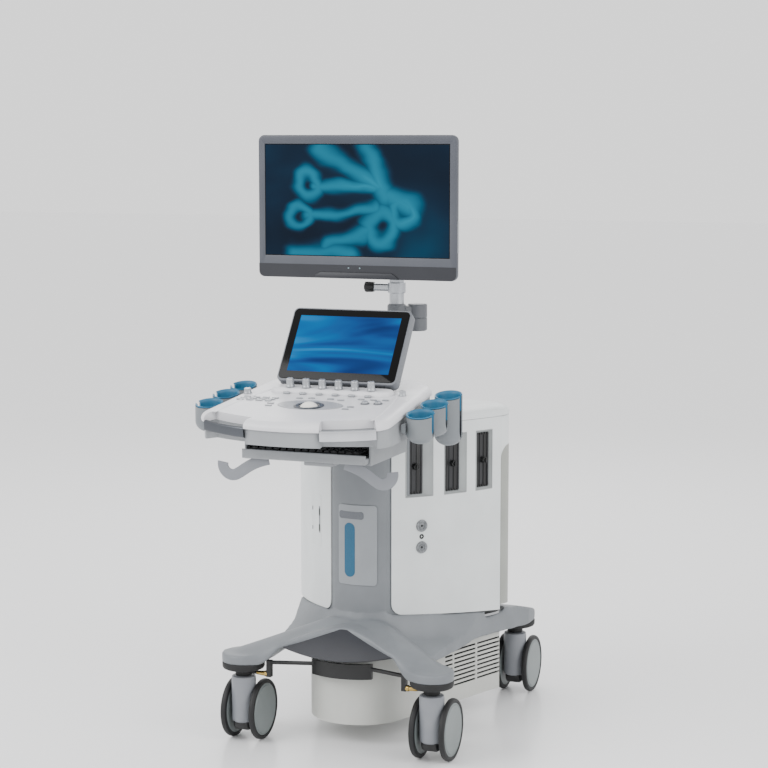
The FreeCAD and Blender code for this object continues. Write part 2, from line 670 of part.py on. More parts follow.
def console_outline(inset, level):
    """The console's outline on its own leaning deck, scaled in towards its middle."""
    half = cell("console_w") / 2
    rear_half = cell("console_rear_w") / 2
    middle_y = 84.0
    sx = (half - inset) / half
    sy = (cell("rear_y") - middle_y - inset) / (cell("rear_y") - middle_y)
    bow = cell("bow_r")
    front = -cell("bow_front")
    corner_x = half - 15
    corner_y = front + bow - math.sqrt(bow ** 2 - corner_x ** 2)
    rear = cell("rear_y")

    def at(x, y):
        return (x * sx, middle_y + (y - middle_y) * sy)
    corner = at(corner_x, corner_y)
    shoulder = at(half, corner_y + 42)
    bend = at(half - 4, corner_y + 18)
    hip = at(rear_half, rear - 100)
    hip_bend = at(rear_half - 36, rear - 42)
    tail = at(rear_half - 112, rear - 3)
    edges = [
        arc_edge(mirrored(corner), at(0, front), corner, level),
        arc_edge(corner, bend, shoulder, level), line_edge(shoulder, hip, level),
        arc_edge(hip, hip_bend, tail, level), arc_edge(tail, at(0, rear), mirrored(tail), level),
        arc_edge(mirrored(tail), mirrored(hip_bend), mirrored(hip), level),
        line_edge(mirrored(hip), mirrored(shoulder), level),
        arc_edge(mirrored(shoulder), mirrored(bend), mirrored(corner), level),
    ]
    return Part.Wire(edges)


def bow_sector(inner_r, outer_r, low, high, trim=0.0):
    """The two stretches of the bowed front where the grips are."""
    centre_y = cell("bow_r") - cell("bow_front")
    sectors = []
    for side in (-1, 1):
        first = math.radians(12 + trim)
        last = math.radians(28.5 - trim)
        corners = []
        for radius, angles in ((inner_r, (first, (first + last) / 2, last)),
                               (outer_r, (last, (first + last) / 2, first))):
            corners.append([(side * radius * math.sin(a), centre_y - radius * math.cos(a))
                            for a in angles])
        inner, outer = corners
        wire = Part.Wire([arc_edge(*inner, low), line_edge(inner[2], outer[0], low),
                          arc_edge(*outer, low), line_edge(outer[2], inner[0], low)])
        sectors.append(Part.Face(wire).extrude(Vector(0, 0, high - low)))
    return Part.makeCompound(sectors)


def finger_slots():
    """What is taken out of the console behind and in front of the grips."""
    return bow_sector(cell("bow_r") - cell("grip_t") - cell("finger_gap"), cell("bow_r") + 40,
                      -90, 30)


def console_base():
    """Where the middle of the leaning deck stands."""
    return Vector(0, cell("console_y"), cell("console_z"))


def ellipse_prism(a, b, y, low, high):
    """An upright solid over an ellipse on the deck."""
    ring = Part.Ellipse(Vector(0, y, low), a, b).toShape()
    return Part.Face(Part.Wire(ring)).extrude(Vector(0, 0, high - low))


def make_console_upper():
    """The white control deck with its raised shelf and the touch panel's hinge ears."""
    inset = cell("rim_inset")
    deck = Part.makeLoft([console_outline(0, -cell("rim_t")), console_outline(inset, 0)],
                         True, True)
    shelf_w = cell("shelf_w")
    knob_y = cell("knob_y")
    shelf = Part.makeBox(shelf_w, 52, cell("shelf_tall"), Vector(-shelf_w / 2, knob_y - 14, 0))
    deck = deck.fuse(shelf)
    ring_gap = 0.3
    pocket = ellipse_prism(cell("ring_a") + ring_gap, cell("ring_b") + ring_gap, 8, -5.3, 20)
    well = Part.makeCylinder(cell("ball_r") + 2, 80, Vector(0, 0, -60))
    deck = deck.cut(pocket).cut(well).cut(finger_slots())
    for x, y in BUTTONS:
        deck = deck.cut(Part.makeCylinder(cell("button_r") + 0.5, 20, Vector(x, y, -4.5)))
    for side in (-1, 1):
        pin_y, pin_w = hinge_on_deck()
        ear = Part.makeBox(24, 14, pin_w + 5, Vector(side * 110 - 12, pin_y - 7, -1))
        pin = Part.makeCylinder(cell("hinge_r"), 60, Vector(side * 110 - 30, pin_y, pin_w),
                                Vector(1, 0, 0))
        deck = deck.fuse(ear).fuse(pin)
    publish_shape(deck.removeSplitter(), "console_upper", console_base(), cell("console_tilt"))


def hinge_point():
    """The touch panel's hinge axis in the machine's Y and Z."""
    lean = math.radians(cell("touch_lean"))
    up, back = 10.0, 17.0
    return (up * math.cos(lean) + back * math.sin(lean),
            cell("touch_z") + up * math.sin(lean) - back * math.cos(lean))


def hinge_on_deck():
    """The same axis on the console's own leaning deck."""
    tilt = math.radians(cell("console_tilt"))
    dy = hinge_point()[0] - cell("console_y")
    dz = hinge_point()[1] - cell("console_z")
    return dy * math.cos(tilt) + dz * math.sin(tilt), dz * math.cos(tilt) - dy * math.sin(tilt)


def make_console_lower():
    """The underbody with the turning neck, the tray's rails and the monitor arm's socket."""
    level = -cell("rim_t") - 0.5
    shell = Part.Face(console_outline(5, level - 160)).extrude(Vector(0, 0, 160))
    shell = shell.cut(finger_slots())
    shell = shell.cut(Part.makeCylinder(cell("ball_r") + 2, 60, Vector(0, 0, -70)))
    shell.Placement = Placement(console_base(), Rotation(Vector(1, 0, 0), cell("console_tilt")))
    floor = cell("floor_z")
    lid = cell("dome_z") + 5
    keep = [(-400, floor), (100, floor), (100, lid), (400, lid), (400, 1100), (-400, 1100)]
    shell = shell.common(side_prism(keep))
    x, y = nose_centre()
    swivel_r = cell("swivel_r")
    frames_top = cell("port_z") + frame_size()[1] / 2
    neck_low = max(cell("pillar_top"), frames_top) + 2.5
    neck = Part.makeCylinder(swivel_r, lid + 35 - neck_low, Vector(x, y, neck_low))
    carrier = Part.makeBox(2 * swivel_r - 40, y - 60, 35, Vector(20 - swivel_r, 60, lid))
    socket = Part.makeCylinder(cell("hub_r"), cell("arm_z") - lid - cell("move_gap"),
                               Vector(0, cell("arm_y"), lid))
    body = shell.fuse(neck).fuse(carrier).fuse(socket)
    head_hole = Part.makeCylinder(cell("mast_r") - 10 + cell("run_gap"), 46,
                                  Vector(x, y, neck_low - 5))
    spigot = Part.makeCylinder(12, 25, Vector(0, cell("arm_y"), cell("arm_z") - 1))
    body = body.cut(head_hole).fuse(spigot)
    rail = cell("rail_t")
    half = cell("tray_w") / 2 + cell("move_gap")
    for side in (-1, 1):
        web_x = half if side > 0 else -half - rail
        lip_x = half - 8 if side > 0 else -half - rail
        low = cell("tray_low") - cell("move_gap") - rail
        web = Part.makeBox(rail, 230, floor + 2 - low, Vector(web_x, -170, low))
        lip = Part.makeBox(rail + 8, 230, rail, Vector(lip_x, -170, low))
        body = body.fuse(web).fuse(lip)
    publish_shape(body.removeSplitter(), "console_lower")


def make_console_trim():
    """Grips, the trackball's oval surround and the keys."""
    low = -16 - cell("grip_tall")
    grips = bow_sector(cell("bow_r") - cell("grip_t"), cell("bow_r"), low,
                       low + cell("grip_tall"), 0.05)
    publish_shape(grips, "console_grips", console_base(), cell("console_tilt"))
    ring = ellipse_prism(cell("ring_a"), cell("ring_b"), 8, -5, 1.5)
    ring = ring.cut(Part.makeCylinder(cell("ball_r") - 0.8, 30, Vector(0, 0, -15)))
    publish_shape(ring, "trackball_surround", console_base(), cell("console_tilt"))
    keys = []
    for index in range(6):
        x = (index - 2.5) * cell("knob_pitch")
        keys.append(Part.makeBox(16, 7, 4, Vector(x - 8, cell("knob_y") - 26, 0.1)))
    for row in range(2):
        for column in range(3):
            keys.append(Part.makeBox(20, 10, 3, Vector(-178 + 26 * column, 46 + 20 * row, 0.1)))
    keys.append(Part.makeCylinder(9, 12, Vector(-198, 94, 0.1)))
    keys.append(Part.makeCylinder(8, 12, Vector(176, 144, 0.1)))
    publish_shape(Part.makeCompound(keys), "function_keys", console_base(), cell("console_tilt"))


def on_deck(x, y, w):
    """Expressions for a point on the console's leaning deck."""
    tilt = "(Sizes.console_tilt * 1deg)"
    return (str(x), f"Sizes.console_y + ({y}) * cos{tilt} - ({w}) * sin{tilt}",
            f"Sizes.console_z + ({y}) * sin{tilt} + ({w}) * cos{tilt}")


def make_controls():
    """The trackball, six rotary knobs and two push buttons."""
    ball = doc.addObject("Part::Sphere", "ball")
    ball.setExpression("Radius", "Sizes.ball_r")
    publish(ball, "trackball", *on_deck("0", "0", "-Sizes.ball_drop"))
    base = "Sizes.shelf_tall + Sizes.move_gap"
    for index in range(6):
        skirt = "Sizes.knob_r + 1.5"
        profile = [("0", "0"), (skirt, "0"), (skirt, "4"), ("Sizes.knob_r", "6"),
                   ("Sizes.knob_r - 0.6", "Sizes.knob_tall - 1.5"),
                   ("Sizes.knob_r - 2", "Sizes.knob_tall"), ("0", "Sizes.knob_tall")]
        knob = turned(f"knob{index + 1}", profile)
        turn(knob, (1, 0, 0), cell("console_tilt"))
        x = f"({index} - 2.5) * Sizes.knob_pitch"
        publish(knob, f"rotary_knob_{index + 1}", *on_deck(x, "Sizes.knob_y", base))
    for index, (x, y) in enumerate(BUTTONS):
        profile = [("0", "0"), ("Sizes.button_r", "0"),
                   ("Sizes.button_r", "Sizes.button_tall - 1"),
                   ("Sizes.button_r - 1", "Sizes.button_tall"), ("0", "Sizes.button_tall")]
        button = turned(f"button{index + 1}", profile)
        turn(button, (1, 0, 0), cell("console_tilt"))
        publish(button, f"push_button_{index + 1}", *on_deck(x, y, "-1"))


def make_tray():
    """The pull-out keyboard tray with its cable hooks, and the keyboard on it."""
    outline = rectangle("Sizes.tray_w", "Sizes.tray_d")
    slab = plate("tray_slab", outline, "Sizes.tray_t", "6")
    move(slab, "0", "-Sizes.tray_front", "Sizes.tray_low")
    lip = box(("Sizes.tray_w - 12", "5", "Sizes.tray_t + 8"),
              ("6 - Sizes.tray_w / 2", "-Sizes.tray_front", "Sizes.tray_low"))
    tray = fuse(slab, lip)
    publish(tray, "keyboard_tray")
    keys = plate("keyboard_block", rectangle("Sizes.keys_w", "Sizes.keys_d"), "Sizes.keys_tall", "5")
    publish(keys, "keyboard", "0", "7 - Sizes.tray_front",
            "Sizes.tray_low + Sizes.tray_t + 0.1")
    top = cell("tray_low")
    thick = cell("hook_t")
    radius = cell("hook_r")
    low_y = -cell("tray_front") + 4
    wide = cell("hook_w")
    centre = (188.0, top - 20)
    hooks = []
    for side in (-1, 1):
        ring = Part.makeCylinder(radius, wide, Vector(centre[0], low_y, centre[1]), Vector(0, 1, 0))
        hole = Part.makeCylinder(radius - thick, wide, Vector(centre[0], low_y, centre[1]),
                                 Vector(0, 1, 0))
        lower = front_prism([(centre[0] - radius * 0.8, centre[1] - radius * 0.62),
                             (centre[0], centre[1]), (centre[0] + 40, centre[1] - 2),
                             (centre[0] + 40, centre[1] - 60), (centre[0] - radius * 0.8,
                             centre[1] - 60)], low_y, low_y + wide)
        curl = ring.cut(hole).common(lower)
        end_x = centre[0] - radius * 0.76
        end_z = centre[1] - radius * 0.60
        strap = front_prism([(90, top - 0.1), (90, top - 4), (end_x, end_z - 1.6),
                             (end_x + 2.4, end_z + 1.2), (108, top - 0.1)], low_y, low_y + wide)
        hook = curl.fuse(strap)
        hooks.append(hook if side > 0 else hook.mirror(Vector(0, 0, 0), Vector(1, 0, 0)))
    publish_shape(Part.makeCompound(hooks), "cable_hooks")


def console_side_x(y):
    """Half the console's width at a distance along its deck."""
    half = cell("console_w") / 2
    rear_half = cell("console_rear_w") / 2
    return half + (rear_half - half) * (y + 90) / (cell("rear_y") - 10)


def make_cups():
    """Six probe cups, slotted outwards, each with a soft liner."""
    wall = cell("cup_wall")
    radius = cell("cup_r")
    slot = cell("cup_slot")
    x = cell("console_w") / 2 + cell("cup_r")
    sides = {1: [], -1: []}
    liners = []
    for y, rim, tall in CUPS:
        low = rim - tall
        shell = Part.makeCylinder(radius, tall, Vector(x, y, low))
        start = console_side_x(y - cell("console_y")) + 1
        arm = Part.makeBox(x - start, 34, 22, Vector(start, y - 17, rim - 46))
        bore = Part.makeCylinder(radius - wall, tall, Vector(x, y, low + wall))
        gap = Part.makeBox(80, slot, tall + 20, Vector(x, y - slot / 2, low + 14))
        cup = shell.fuse(arm).cut(bore).cut(gap)
        outer_r = radius - wall - 0.1
        deep = min(tall - 8, 58)
        sleeve = Part.makeCylinder(outer_r, deep + 3, Vector(x, y, rim - deep))
        rim_ring = Part.makeCylinder(radius, 3, Vector(x, y, rim + 0.1))
        hole = Part.makeCylinder(outer_r - cell("liner_t"), deep + 10, Vector(x, y, rim - deep))
        liner = sleeve.fuse(rim_ring).cut(hole).cut(gap)
        sides[1].append(cup)
        sides[-1].append(cup.mirror(Vector(0, 0, 0), Vector(1, 0, 0)))
        liners.append(liner)
        liners.append(liner.mirror(Vector(0, 0, 0), Vector(1, 0, 0)))
    publish_shape(Part.makeCompound(sides[-1]), "probe_cups_left")
    publish_shape(Part.makeCompound(sides[1]), "probe_cups_right")
    publish_shape(Part.makeCompound(liners), "cup_liners")


def make_touch_panel():
    """The hinged touch panel: a tub with its glass."""
    width, tall, thick = cell("touch_w"), cell("touch_h"), cell("touch_t")
    tub = Part.makeBox(width, tall, thick, Vector(-width / 2, -4, -thick))
    corners = [edge for edge in tub.Edges if abs(edge.tangentAt(0).z) > 0.99]
    tub = tub.makeFillet(6, corners)
    for side in (-1, 1):
        ear_room = Part.makeBox(28, 40, 40, Vector(side * 110 - 14, -14, -48))
        bore = Part.makeCylinder(cell("hinge_r") + cell("run_gap"), 66,
                                 Vector(side * 110 - 33, 10, -17), Vector(1, 0, 0))
        tub = tub.cut(ear_room).cut(bore)
    base = Vector(0, 0, cell("touch_z"))
    publish_shape(tub, "touch_housing", base, cell("touch_lean"))
    glass = Part.makeBox(cell("glass_w"), cell("glass_h"), cell("glass_t"),
                         Vector(-cell("glass_w") / 2, 0, 0.1))
    publish_shape(glass, "touch_glass", base, cell("touch_lean"))


def make_monitor_arm():
    """The lower arm, the upper arm with its post and clamp, and the turning tilt head."""
    gap = cell("move_gap")
    arm_y = cell("arm_y")
    hub_r = cell("hub_r")
    elbow = Vector(cell("elbow_x2"), cell("elbow_y2"), 0)
    low = cell("arm_z")
    link = cell("link_z")
    hub = Part.makeCylinder(hub_r - 2, 32, Vector(0, arm_y, low))
    knuckle = Part.makeCylinder(24, 30, Vector(elbow.x, elbow.y, link - gap - 30))
    beam_line = Vector(elbow.x, elbow.y - arm_y, 0)
    long = beam_line.Length
    beam = Part.Face(Part.makePolygon([
        Vector(-14, 0, low + 4), Vector(16, 0, low + 4), Vector(long + 14, 0, link - 30),
        Vector(long + 14, 0, link - gap), Vector(long - 14, 0, link - gap),
        Vector(-14, 0, low + 30), Vector(-14, 0, low + 4)])).extrude(Vector(0, 30, 0))
    beam.translate(Vector(0, -15, 0))
    beam.rotate(Vector(0, 0, 0), Vector(0, 0, 1), math.degrees(math.atan2(beam_line.y, beam_line.x)))
    beam.translate(Vector(0, arm_y, 0))
    lower = hub.fuse(knuckle).fuse(beam)
    lower = lower.cut(Part.makeCylinder(12 + cell("run_gap"), 26, Vector(0, arm_y, low - 1)))
    lower = lower.fuse(Part.makeCylinder(9, 26, Vector(elbow.x, elbow.y, link - gap)))
    publish_shape(lower.removeSplitter(), "monitor_lower_arm")
    post_x = cell("post_x")
    post_r = cell("post_r")
    head = cell("head_z")
    eye = Part.makeCylinder(24, 34, Vector(elbow.x, elbow.y, link))
    foot = Part.makeCylinder(post_r + 5, 34, Vector(post_x, arm_y, link))
    span = Vector(post_x - elbow.x, arm_y - elbow.y, 0)
    bar = Part.makeBox(span.Length, 26, 26, Vector(0, -13, 0))
    bar.Placement = Placement(Vector(elbow.x, elbow.y, link + 4),
                              Rotation(Vector(0, 0, 1), math.degrees(math.atan2(span.y, span.x))))
    post = Part.makeCylinder(post_r, head - link - gap, Vector(post_x, arm_y, link))
    clamp = Part.makeCylinder(post_r + 4, 26, Vector(post_x, arm_y, link + 62))
    arm = Part.makeBox(56, 16, 20, Vector(post_x - 58, arm_y - 8, link + 65))
    knob = Part.makeCylinder(14, 26, Vector(post_x - 82, arm_y, link + 75), Vector(1, 0, 0))
    upper = eye.fuse(foot).fuse(bar).fuse(post).fuse(clamp).fuse(arm).fuse(knob)
    spigot = Part.makeCylinder(9, 26, Vector(post_x, arm_y, head - gap))
    bore = Part.makeCylinder(9 + cell("run_gap"), 28, Vector(elbow.x, elbow.y, link - 1))
    upper = upper.cut(bore).fuse(spigot)
    publish_shape(upper.removeSplitter(), "monitor_upper_arm")
    cap = Part.makeCylinder(post_r + 4, 60, Vector(post_x, arm_y, head))
    cap = cap.cut(Part.makeCylinder(9 + cell("run_gap"), 28, Vector(post_x, arm_y, head)))
    tilt = cell("tilt_z")
    cross = Part.makeBox(post_x - 26, 22, 26, Vector(26, arm_y - 11, tilt - 13))
    pin = Part.makeCylinder(cell("tilt_pin_r"), 78, Vector(-48, arm_y - 8, tilt), Vector(1, 0, 0))
    cross = cross.cut(Part.makeCylinder(9 + cell("run_gap"), 28, Vector(post_x, arm_y, head)))
    publish_shape(cap.fuse(cross).fuse(pin).removeSplitter(), "tilt_head")


def make_monitor():
    """Front frame, rear shell with the tilt lugs, and the screen."""
    gap = 0.1
    width, tall = cell("monitor_w"), cell("monitor_h")
    front = cell("monitor_y")
    frame = plate("monitor_frame", rectangle("Sizes.monitor_w", "Sizes.monitor_h",
                  "-Sizes.monitor_h / 2"), "Sizes.bezel_t", "14")
    turn(frame, (1, 0, 0), 90)
    move(frame, "0", "Sizes.monitor_y + Sizes.bezel_t", "Sizes.monitor_z")
    window = box(("Sizes.screen_w + 0.4", "3.2", "Sizes.screen_h + 0.4"),
                 ("-Sizes.screen_w / 2 - 0.2", "Sizes.monitor_y",
                  "Sizes.screen_z - Sizes.screen_h / 2 - 0.2"))
    handle_back = box(("84", "26", "8"), ("-42", "Sizes.monitor_y - 1", "1136"))
    bezel = cut(frame, window, handle_back)
    publish(bezel, "monitor_bezel")
    glass = box(("Sizes.screen_w", "3", "Sizes.screen_h"), ("0", "0", "0"))
    publish(glass, "monitor_screen", "-Sizes.screen_w / 2", "Sizes.monitor_y + 0.1",
            "Sizes.screen_z - Sizes.screen_h / 2")
    start = front + cell("bezel_t") + gap
    centre_z = cell("monitor_z")
    rim = Part.makePolygon([Vector(x * width / 2 * 0.985, start, centre_z + z * tall / 2 * 0.985)
                            for x, z in ((-1, -1), (1, -1), (1, 1), (-1, 1), (-1, -1))])
    back = Part.makePolygon([Vector(x * width / 2 * 0.86, start + cell("back_t"),
                             centre_z + z * tall / 2 * 0.80)
                             for x, z in ((-1, -1), (1, -1), (1, 1), (-1, 1), (-1, -1))])
    shell = Part.makeLoft([rim, back], True, True)
    tilt = cell("tilt_z")
    pin_y = cell("arm_y") - 8
    for x in (-46, -4):
        lug = Part.makeBox(18, pin_y - start - 10, 34, Vector(x, start + 10, tilt - 17))
        eye = Part.makeCylinder(14, 18, Vector(x, pin_y, tilt), Vector(1, 0, 0))
        shell = shell.fuse(lug).fuse(eye)
    hole = Part.makeCylinder(cell("tilt_pin_r") + cell("run_gap"), 90, Vector(-60, pin_y, tilt),
                             Vector(1, 0, 0))
    publish_shape(shell.cut(hole).removeSplitter(), "monitor_back")


def check_and_write():
    """Stops at any failed object, then writes each node's own file."""
    doc.recompute()
    for obj in doc.Objects:
        if "Invalid" in obj.State or "Error" in obj.State:
            raise RuntimeError(f"{obj.Name} ({obj.Label}) failed: {obj.State}")
    os.makedirs("parts", exist_ok=True)
    for obj in nodes:
        shape = obj.Shape
        if shape.isNull() or not shape.isValid() or not shape.Solids:
            raise RuntimeError(f"{obj.Label} has no valid solid")
        shape.exportStep(f"parts/{obj.Label}.step")
    whole = Part.makeCompound([obj.Shape for obj in nodes]).BoundBox
    print(len(nodes), "nodes; X", round(whole.XMin, 1), round(whole.XMax, 1), "Y",
          round(whole.YMin, 1), round(whole.YMax, 1), "Z", round(whole.ZMin, 1),
          round(whole.ZMax, 1))


def main():
    """Builds every piece in order."""
    fill_sheet()
    make_base_casting()
    make_castor_mounts()
    for corner, x, y in (("front_left", "-Sizes.track / 2", "0"),
                         ("front_right", "Sizes.track / 2", "0"),
                         ("rear_left", "-Sizes.track / 2", "Sizes.wheelbase"),
                         ("rear_right", "Sizes.track / 2", "Sizes.wheelbase")):
        make_castor(corner, x, y)
    make_brake_bar()
    make_foot_apron()
    make_lower_housing()
    make_insides()
    make_side_panels()
    make_ports()
    make_covers()
    make_lift_column()
    make_console_lower()
    make_console_upper()
    make_console_trim()
    make_controls()
    make_tray()
    make_cups()
    make_touch_panel()
    make_monitor_arm()
    make_monitor()
    check_and_write()


main()
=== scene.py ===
"""The ultrasound machine's visible skin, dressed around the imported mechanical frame.

Shapes are worked out in millimetres in the machine's own datum: X across, Y backwards from the
front castor axis, Z up from the floor. Two leaning datums, the control deck and the touch panel,
turn their own coordinates into that one. make_mesh() turns the result into metres in the row's
frame.
"""
from __future__ import annotations

import json
import logging
import math
from dataclasses import dataclass, field
from enum import Enum
from typing import Callable, Iterable, Sequence

import bmesh
import bpy
import numpy as np
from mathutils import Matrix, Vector

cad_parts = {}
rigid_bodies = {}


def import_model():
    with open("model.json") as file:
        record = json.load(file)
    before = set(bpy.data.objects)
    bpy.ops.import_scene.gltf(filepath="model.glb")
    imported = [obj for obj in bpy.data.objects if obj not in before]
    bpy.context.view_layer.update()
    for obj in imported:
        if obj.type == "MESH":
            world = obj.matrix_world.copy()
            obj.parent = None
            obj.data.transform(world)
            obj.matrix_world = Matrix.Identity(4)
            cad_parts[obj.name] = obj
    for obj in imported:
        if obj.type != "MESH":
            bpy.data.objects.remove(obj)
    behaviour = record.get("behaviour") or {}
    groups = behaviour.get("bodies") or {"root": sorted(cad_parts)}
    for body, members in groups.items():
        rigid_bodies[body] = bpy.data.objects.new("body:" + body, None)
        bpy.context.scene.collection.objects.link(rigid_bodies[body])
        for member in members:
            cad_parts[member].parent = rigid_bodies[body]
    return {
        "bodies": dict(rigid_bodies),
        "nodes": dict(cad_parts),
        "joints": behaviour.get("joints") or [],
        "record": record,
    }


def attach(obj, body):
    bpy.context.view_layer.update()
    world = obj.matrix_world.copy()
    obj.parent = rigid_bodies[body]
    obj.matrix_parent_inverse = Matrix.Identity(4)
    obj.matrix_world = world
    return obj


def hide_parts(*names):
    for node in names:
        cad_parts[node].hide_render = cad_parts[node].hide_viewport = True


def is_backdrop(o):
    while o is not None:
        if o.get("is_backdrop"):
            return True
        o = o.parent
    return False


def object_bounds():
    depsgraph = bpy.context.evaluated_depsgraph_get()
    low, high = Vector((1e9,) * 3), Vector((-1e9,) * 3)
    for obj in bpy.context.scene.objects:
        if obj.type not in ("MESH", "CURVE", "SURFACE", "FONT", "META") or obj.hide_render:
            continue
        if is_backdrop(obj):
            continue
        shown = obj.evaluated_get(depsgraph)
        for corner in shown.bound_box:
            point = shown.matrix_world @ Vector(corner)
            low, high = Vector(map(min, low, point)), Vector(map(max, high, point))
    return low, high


LOG = logging.getLogger("ultrasound")
Array = np.ndarray
MM = 0.001
FRONT_AXIS_Y = 215.0
BEVEL_ABOVE = math.radians(35)
CORNER_SHADE_M = 0.012
SCREEN_ASPECT = (16.0, 9.0)
CASTING_VOXEL_MM = 4.2
CASTING_RELAX_STEPS = 12
KEY_PITCH = (18.0, 22.5)
FLOOR_ROUGHNESS = 0.22
WORLD_STRENGTH = 1.45


# ---------------------------------------------------------------- materials


def linear(hex_colour: str) -> tuple[float, float, float, float]:
    """Turns an sRGB hex value such as "8e9296" into a linear colour with alpha 1."""
    parts = [int(hex_colour[i:i + 2], 16) / 255 for i in (0, 2, 4)]
    low = [c / 12.92 if c <= 0.04045 else ((c + 0.055) / 1.055) ** 2.4 for c in parts]
    return (low[0], low[1], low[2], 1.0)


def add(tree: bpy.types.NodeTree, kind: str, values: dict | None = None,
        links: dict | None = None, **settings: object) -> bpy.types.Node:
    """Adds one shader node.

    Args:
        tree: the material's node tree.
        kind: the node's type name.
        values: socket name or number to its constant value.
        links: socket name or number to the output socket that feeds it.
        settings: the node's own properties.

    Returns:
        The new node.
    """
    node = tree.nodes.new(kind)
    for name, value in settings.items():
        setattr(node, name, value)
    for key, value in (values or {}).items():
        node.inputs[key].default_value = value
    for key, socket in (links or {}).items():
        tree.links.new(socket, node.inputs[key])
    return node


@dataclass(frozen=True)
class Finish:
    """A solid material with fine grain: its colours, gloss and the size of its texture."""

    name: str
    colour: str
    shade: str
    roughness: float = 0.45
    metallic: float = 0.0
    ior: float = 1.5
    grain_mm: float = 1.2
    bump_mm: float = 0.02
    mottle_mm: float = 90.0
    coat: float = 0.0
    brushed: tuple[float, float, float] = (1.0, 1.0, 1.0)
    # Share of dark grey mixed into corners: painted shade on light finishes, lint on black ones.
    corner_shade_and_dust: float = 0.3
    gloss: float = 0.5

    def build(self) -> bpy.types.Material:
        """Makes the Blender material.

        Returns:
            A material that mixes its two near colours by a slow mottle, mixes a dark grey into
            corners by ambient occlusion (painted shade on light finishes, a lint-like lightening
            on near-black ones), and takes a fine grain as bump and as a change in roughness.
        """
        material = bpy.data.materials.new(self.name)
        material.use_nodes = True
        tree = material.node_tree
        tree.nodes.clear()
        place = add(tree, "ShaderNodeTexCoord").outputs["Object"]
        stretched = add(tree, "ShaderNodeMapping", {"Scale": self.brushed}, {"Vector": place})
        mottle = add(tree, "ShaderNodeTexNoise", {"Scale": 1000 / self.mottle_mm, "Detail": 3.0},
                     {"Vector": place})
        grain = add(tree, "ShaderNodeTexNoise", {"Scale": 1000 / self.grain_mm, "Detail": 2.0},
                    {"Vector": stretched.outputs["Vector"]})
        blend = add(tree, "ShaderNodeMapRange", {"From Min": 0.35, "From Max": 0.65},
                    {"Value": mottle.outputs["Fac"]})
        base = add(tree, "ShaderNodeMix", {"A": linear(self.colour), "B": linear(self.shade)},
                   {"Factor": blend.outputs["Result"]}, data_type="RGBA")
        # Painted shade: ambient occlusion mixes the dark grey 2e2f30 into corners and creases; on
        # near-black finishes the same mix lightens them like lint.
        hollow = add(tree, "ShaderNodeAmbientOcclusion", {"Distance": CORNER_SHADE_M}, samples=4)
        shade_and_dust_share = add(tree, "ShaderNodeMapRange",
                    {"From Min": 0.3, "From Max": 0.9, "To Min": self.corner_shade_and_dust, "To Max": 0.0},
                    {"Value": hollow.outputs["AO"]})
        shaded_and_dusted = add(tree, "ShaderNodeMix", {"B": linear("2e2f30")},
                   {"Factor": shade_and_dust_share.outputs["Result"], "A": base.outputs["Result"]},
                   data_type="RGBA")
        spread = add(tree, "ShaderNodeMapRange",
                     {"From Min": 0.3, "From Max": 0.7, "To Min": self.roughness - 0.05,
                      "To Max": self.roughness + 0.06}, {"Value": grain.outputs["Fac"]})
        bump = add(tree, "ShaderNodeBump", {"Strength": 0.5, "Distance": self.bump_mm * MM},
                   {"Height": grain.outputs["Fac"]})
        shader = add(tree, "ShaderNodeBsdfPrincipled",
                     {"Metallic": self.metallic, "IOR": self.ior, "Coat Weight": self.coat,
                      "Coat Roughness": 0.15, "Specular IOR Level": self.gloss},
                     {"Base Color": shaded_and_dusted.outputs["Result"],
                      "Roughness": spread.outputs["Result"], "Normal": bump.outputs["Normal"]})
        add(tree, "ShaderNodeOutputMaterial", links={"Surface": shader.outputs["BSDF"]})
        return material


@dataclass(frozen=True)
class Stroke:
    """A soft line on a display, in shares of its width and height; round ends may be rings."""

    start: tuple[float, float]
    end: tuple[float, float]
    radius: float
    ring: bool = False

    def field(self, tree: bpy.types.NodeTree, place: bpy.types.NodeSocket
              ) -> bpy.types.NodeSocket:
        """Adds the nodes that give the stroke's brightness at a place.

        Args:
            tree: the material's node tree.
            place: the place on the display, 16 wide to 9 high.

        Returns:
            A socket that is 1 on the line and falls off smoothly. The distance to the line
            is that to the nearest of its points, found by projecting and clamping.
        """
        a = (self.start[0] * SCREEN_ASPECT[0], self.start[1] * SCREEN_ASPECT[1], 0.0)
        b = (self.end[0] * SCREEN_ASPECT[0], self.end[1] * SCREEN_ASPECT[1], 0.0)
        along = tuple(q - p for p, q in zip(a, b))
        length = max(sum(v * v for v in along), 1e-6)
        start = add(tree, "ShaderNodeVectorMath", {1: a}, {0: place}, operation="SUBTRACT")
        dot = add(tree, "ShaderNodeVectorMath", {1: tuple(v / length for v in along)},
                  {0: start.outputs["Vector"]}, operation="DOT_PRODUCT")
        share = add(tree, "ShaderNodeClamp", links={"Value": dot.outputs["Value"]})
        back = add(tree, "ShaderNodeVectorMath", {0: along},
                   {"Scale": share.outputs["Result"]}, operation="SCALE")
        gap = add(tree, "ShaderNodeVectorMath",
                  links={0: start.outputs["Vector"], 1: back.outputs["Vector"]},
                  operation="DISTANCE")
        value = gap.outputs["Value"]
        if self.ring:
            off = add(tree, "ShaderNodeMath", {1: self.radius}, {0: value}, operation="SUBTRACT")
            value = add(tree, "ShaderNodeMath", links={0: off.outputs["Value"]},
                        operation="ABSOLUTE").outputs["Value"]
        reach = self.radius * (0.95 if self.ring else 1.5)
        return add(tree, "ShaderNodeMapRange",
                   {"From Min": reach, "From Max": 0.0, "To Min": 0.0, "To Max": 1.0},
                   {"Value": value}, interpolation_type="SMOOTHSTEP").outputs["Result"]


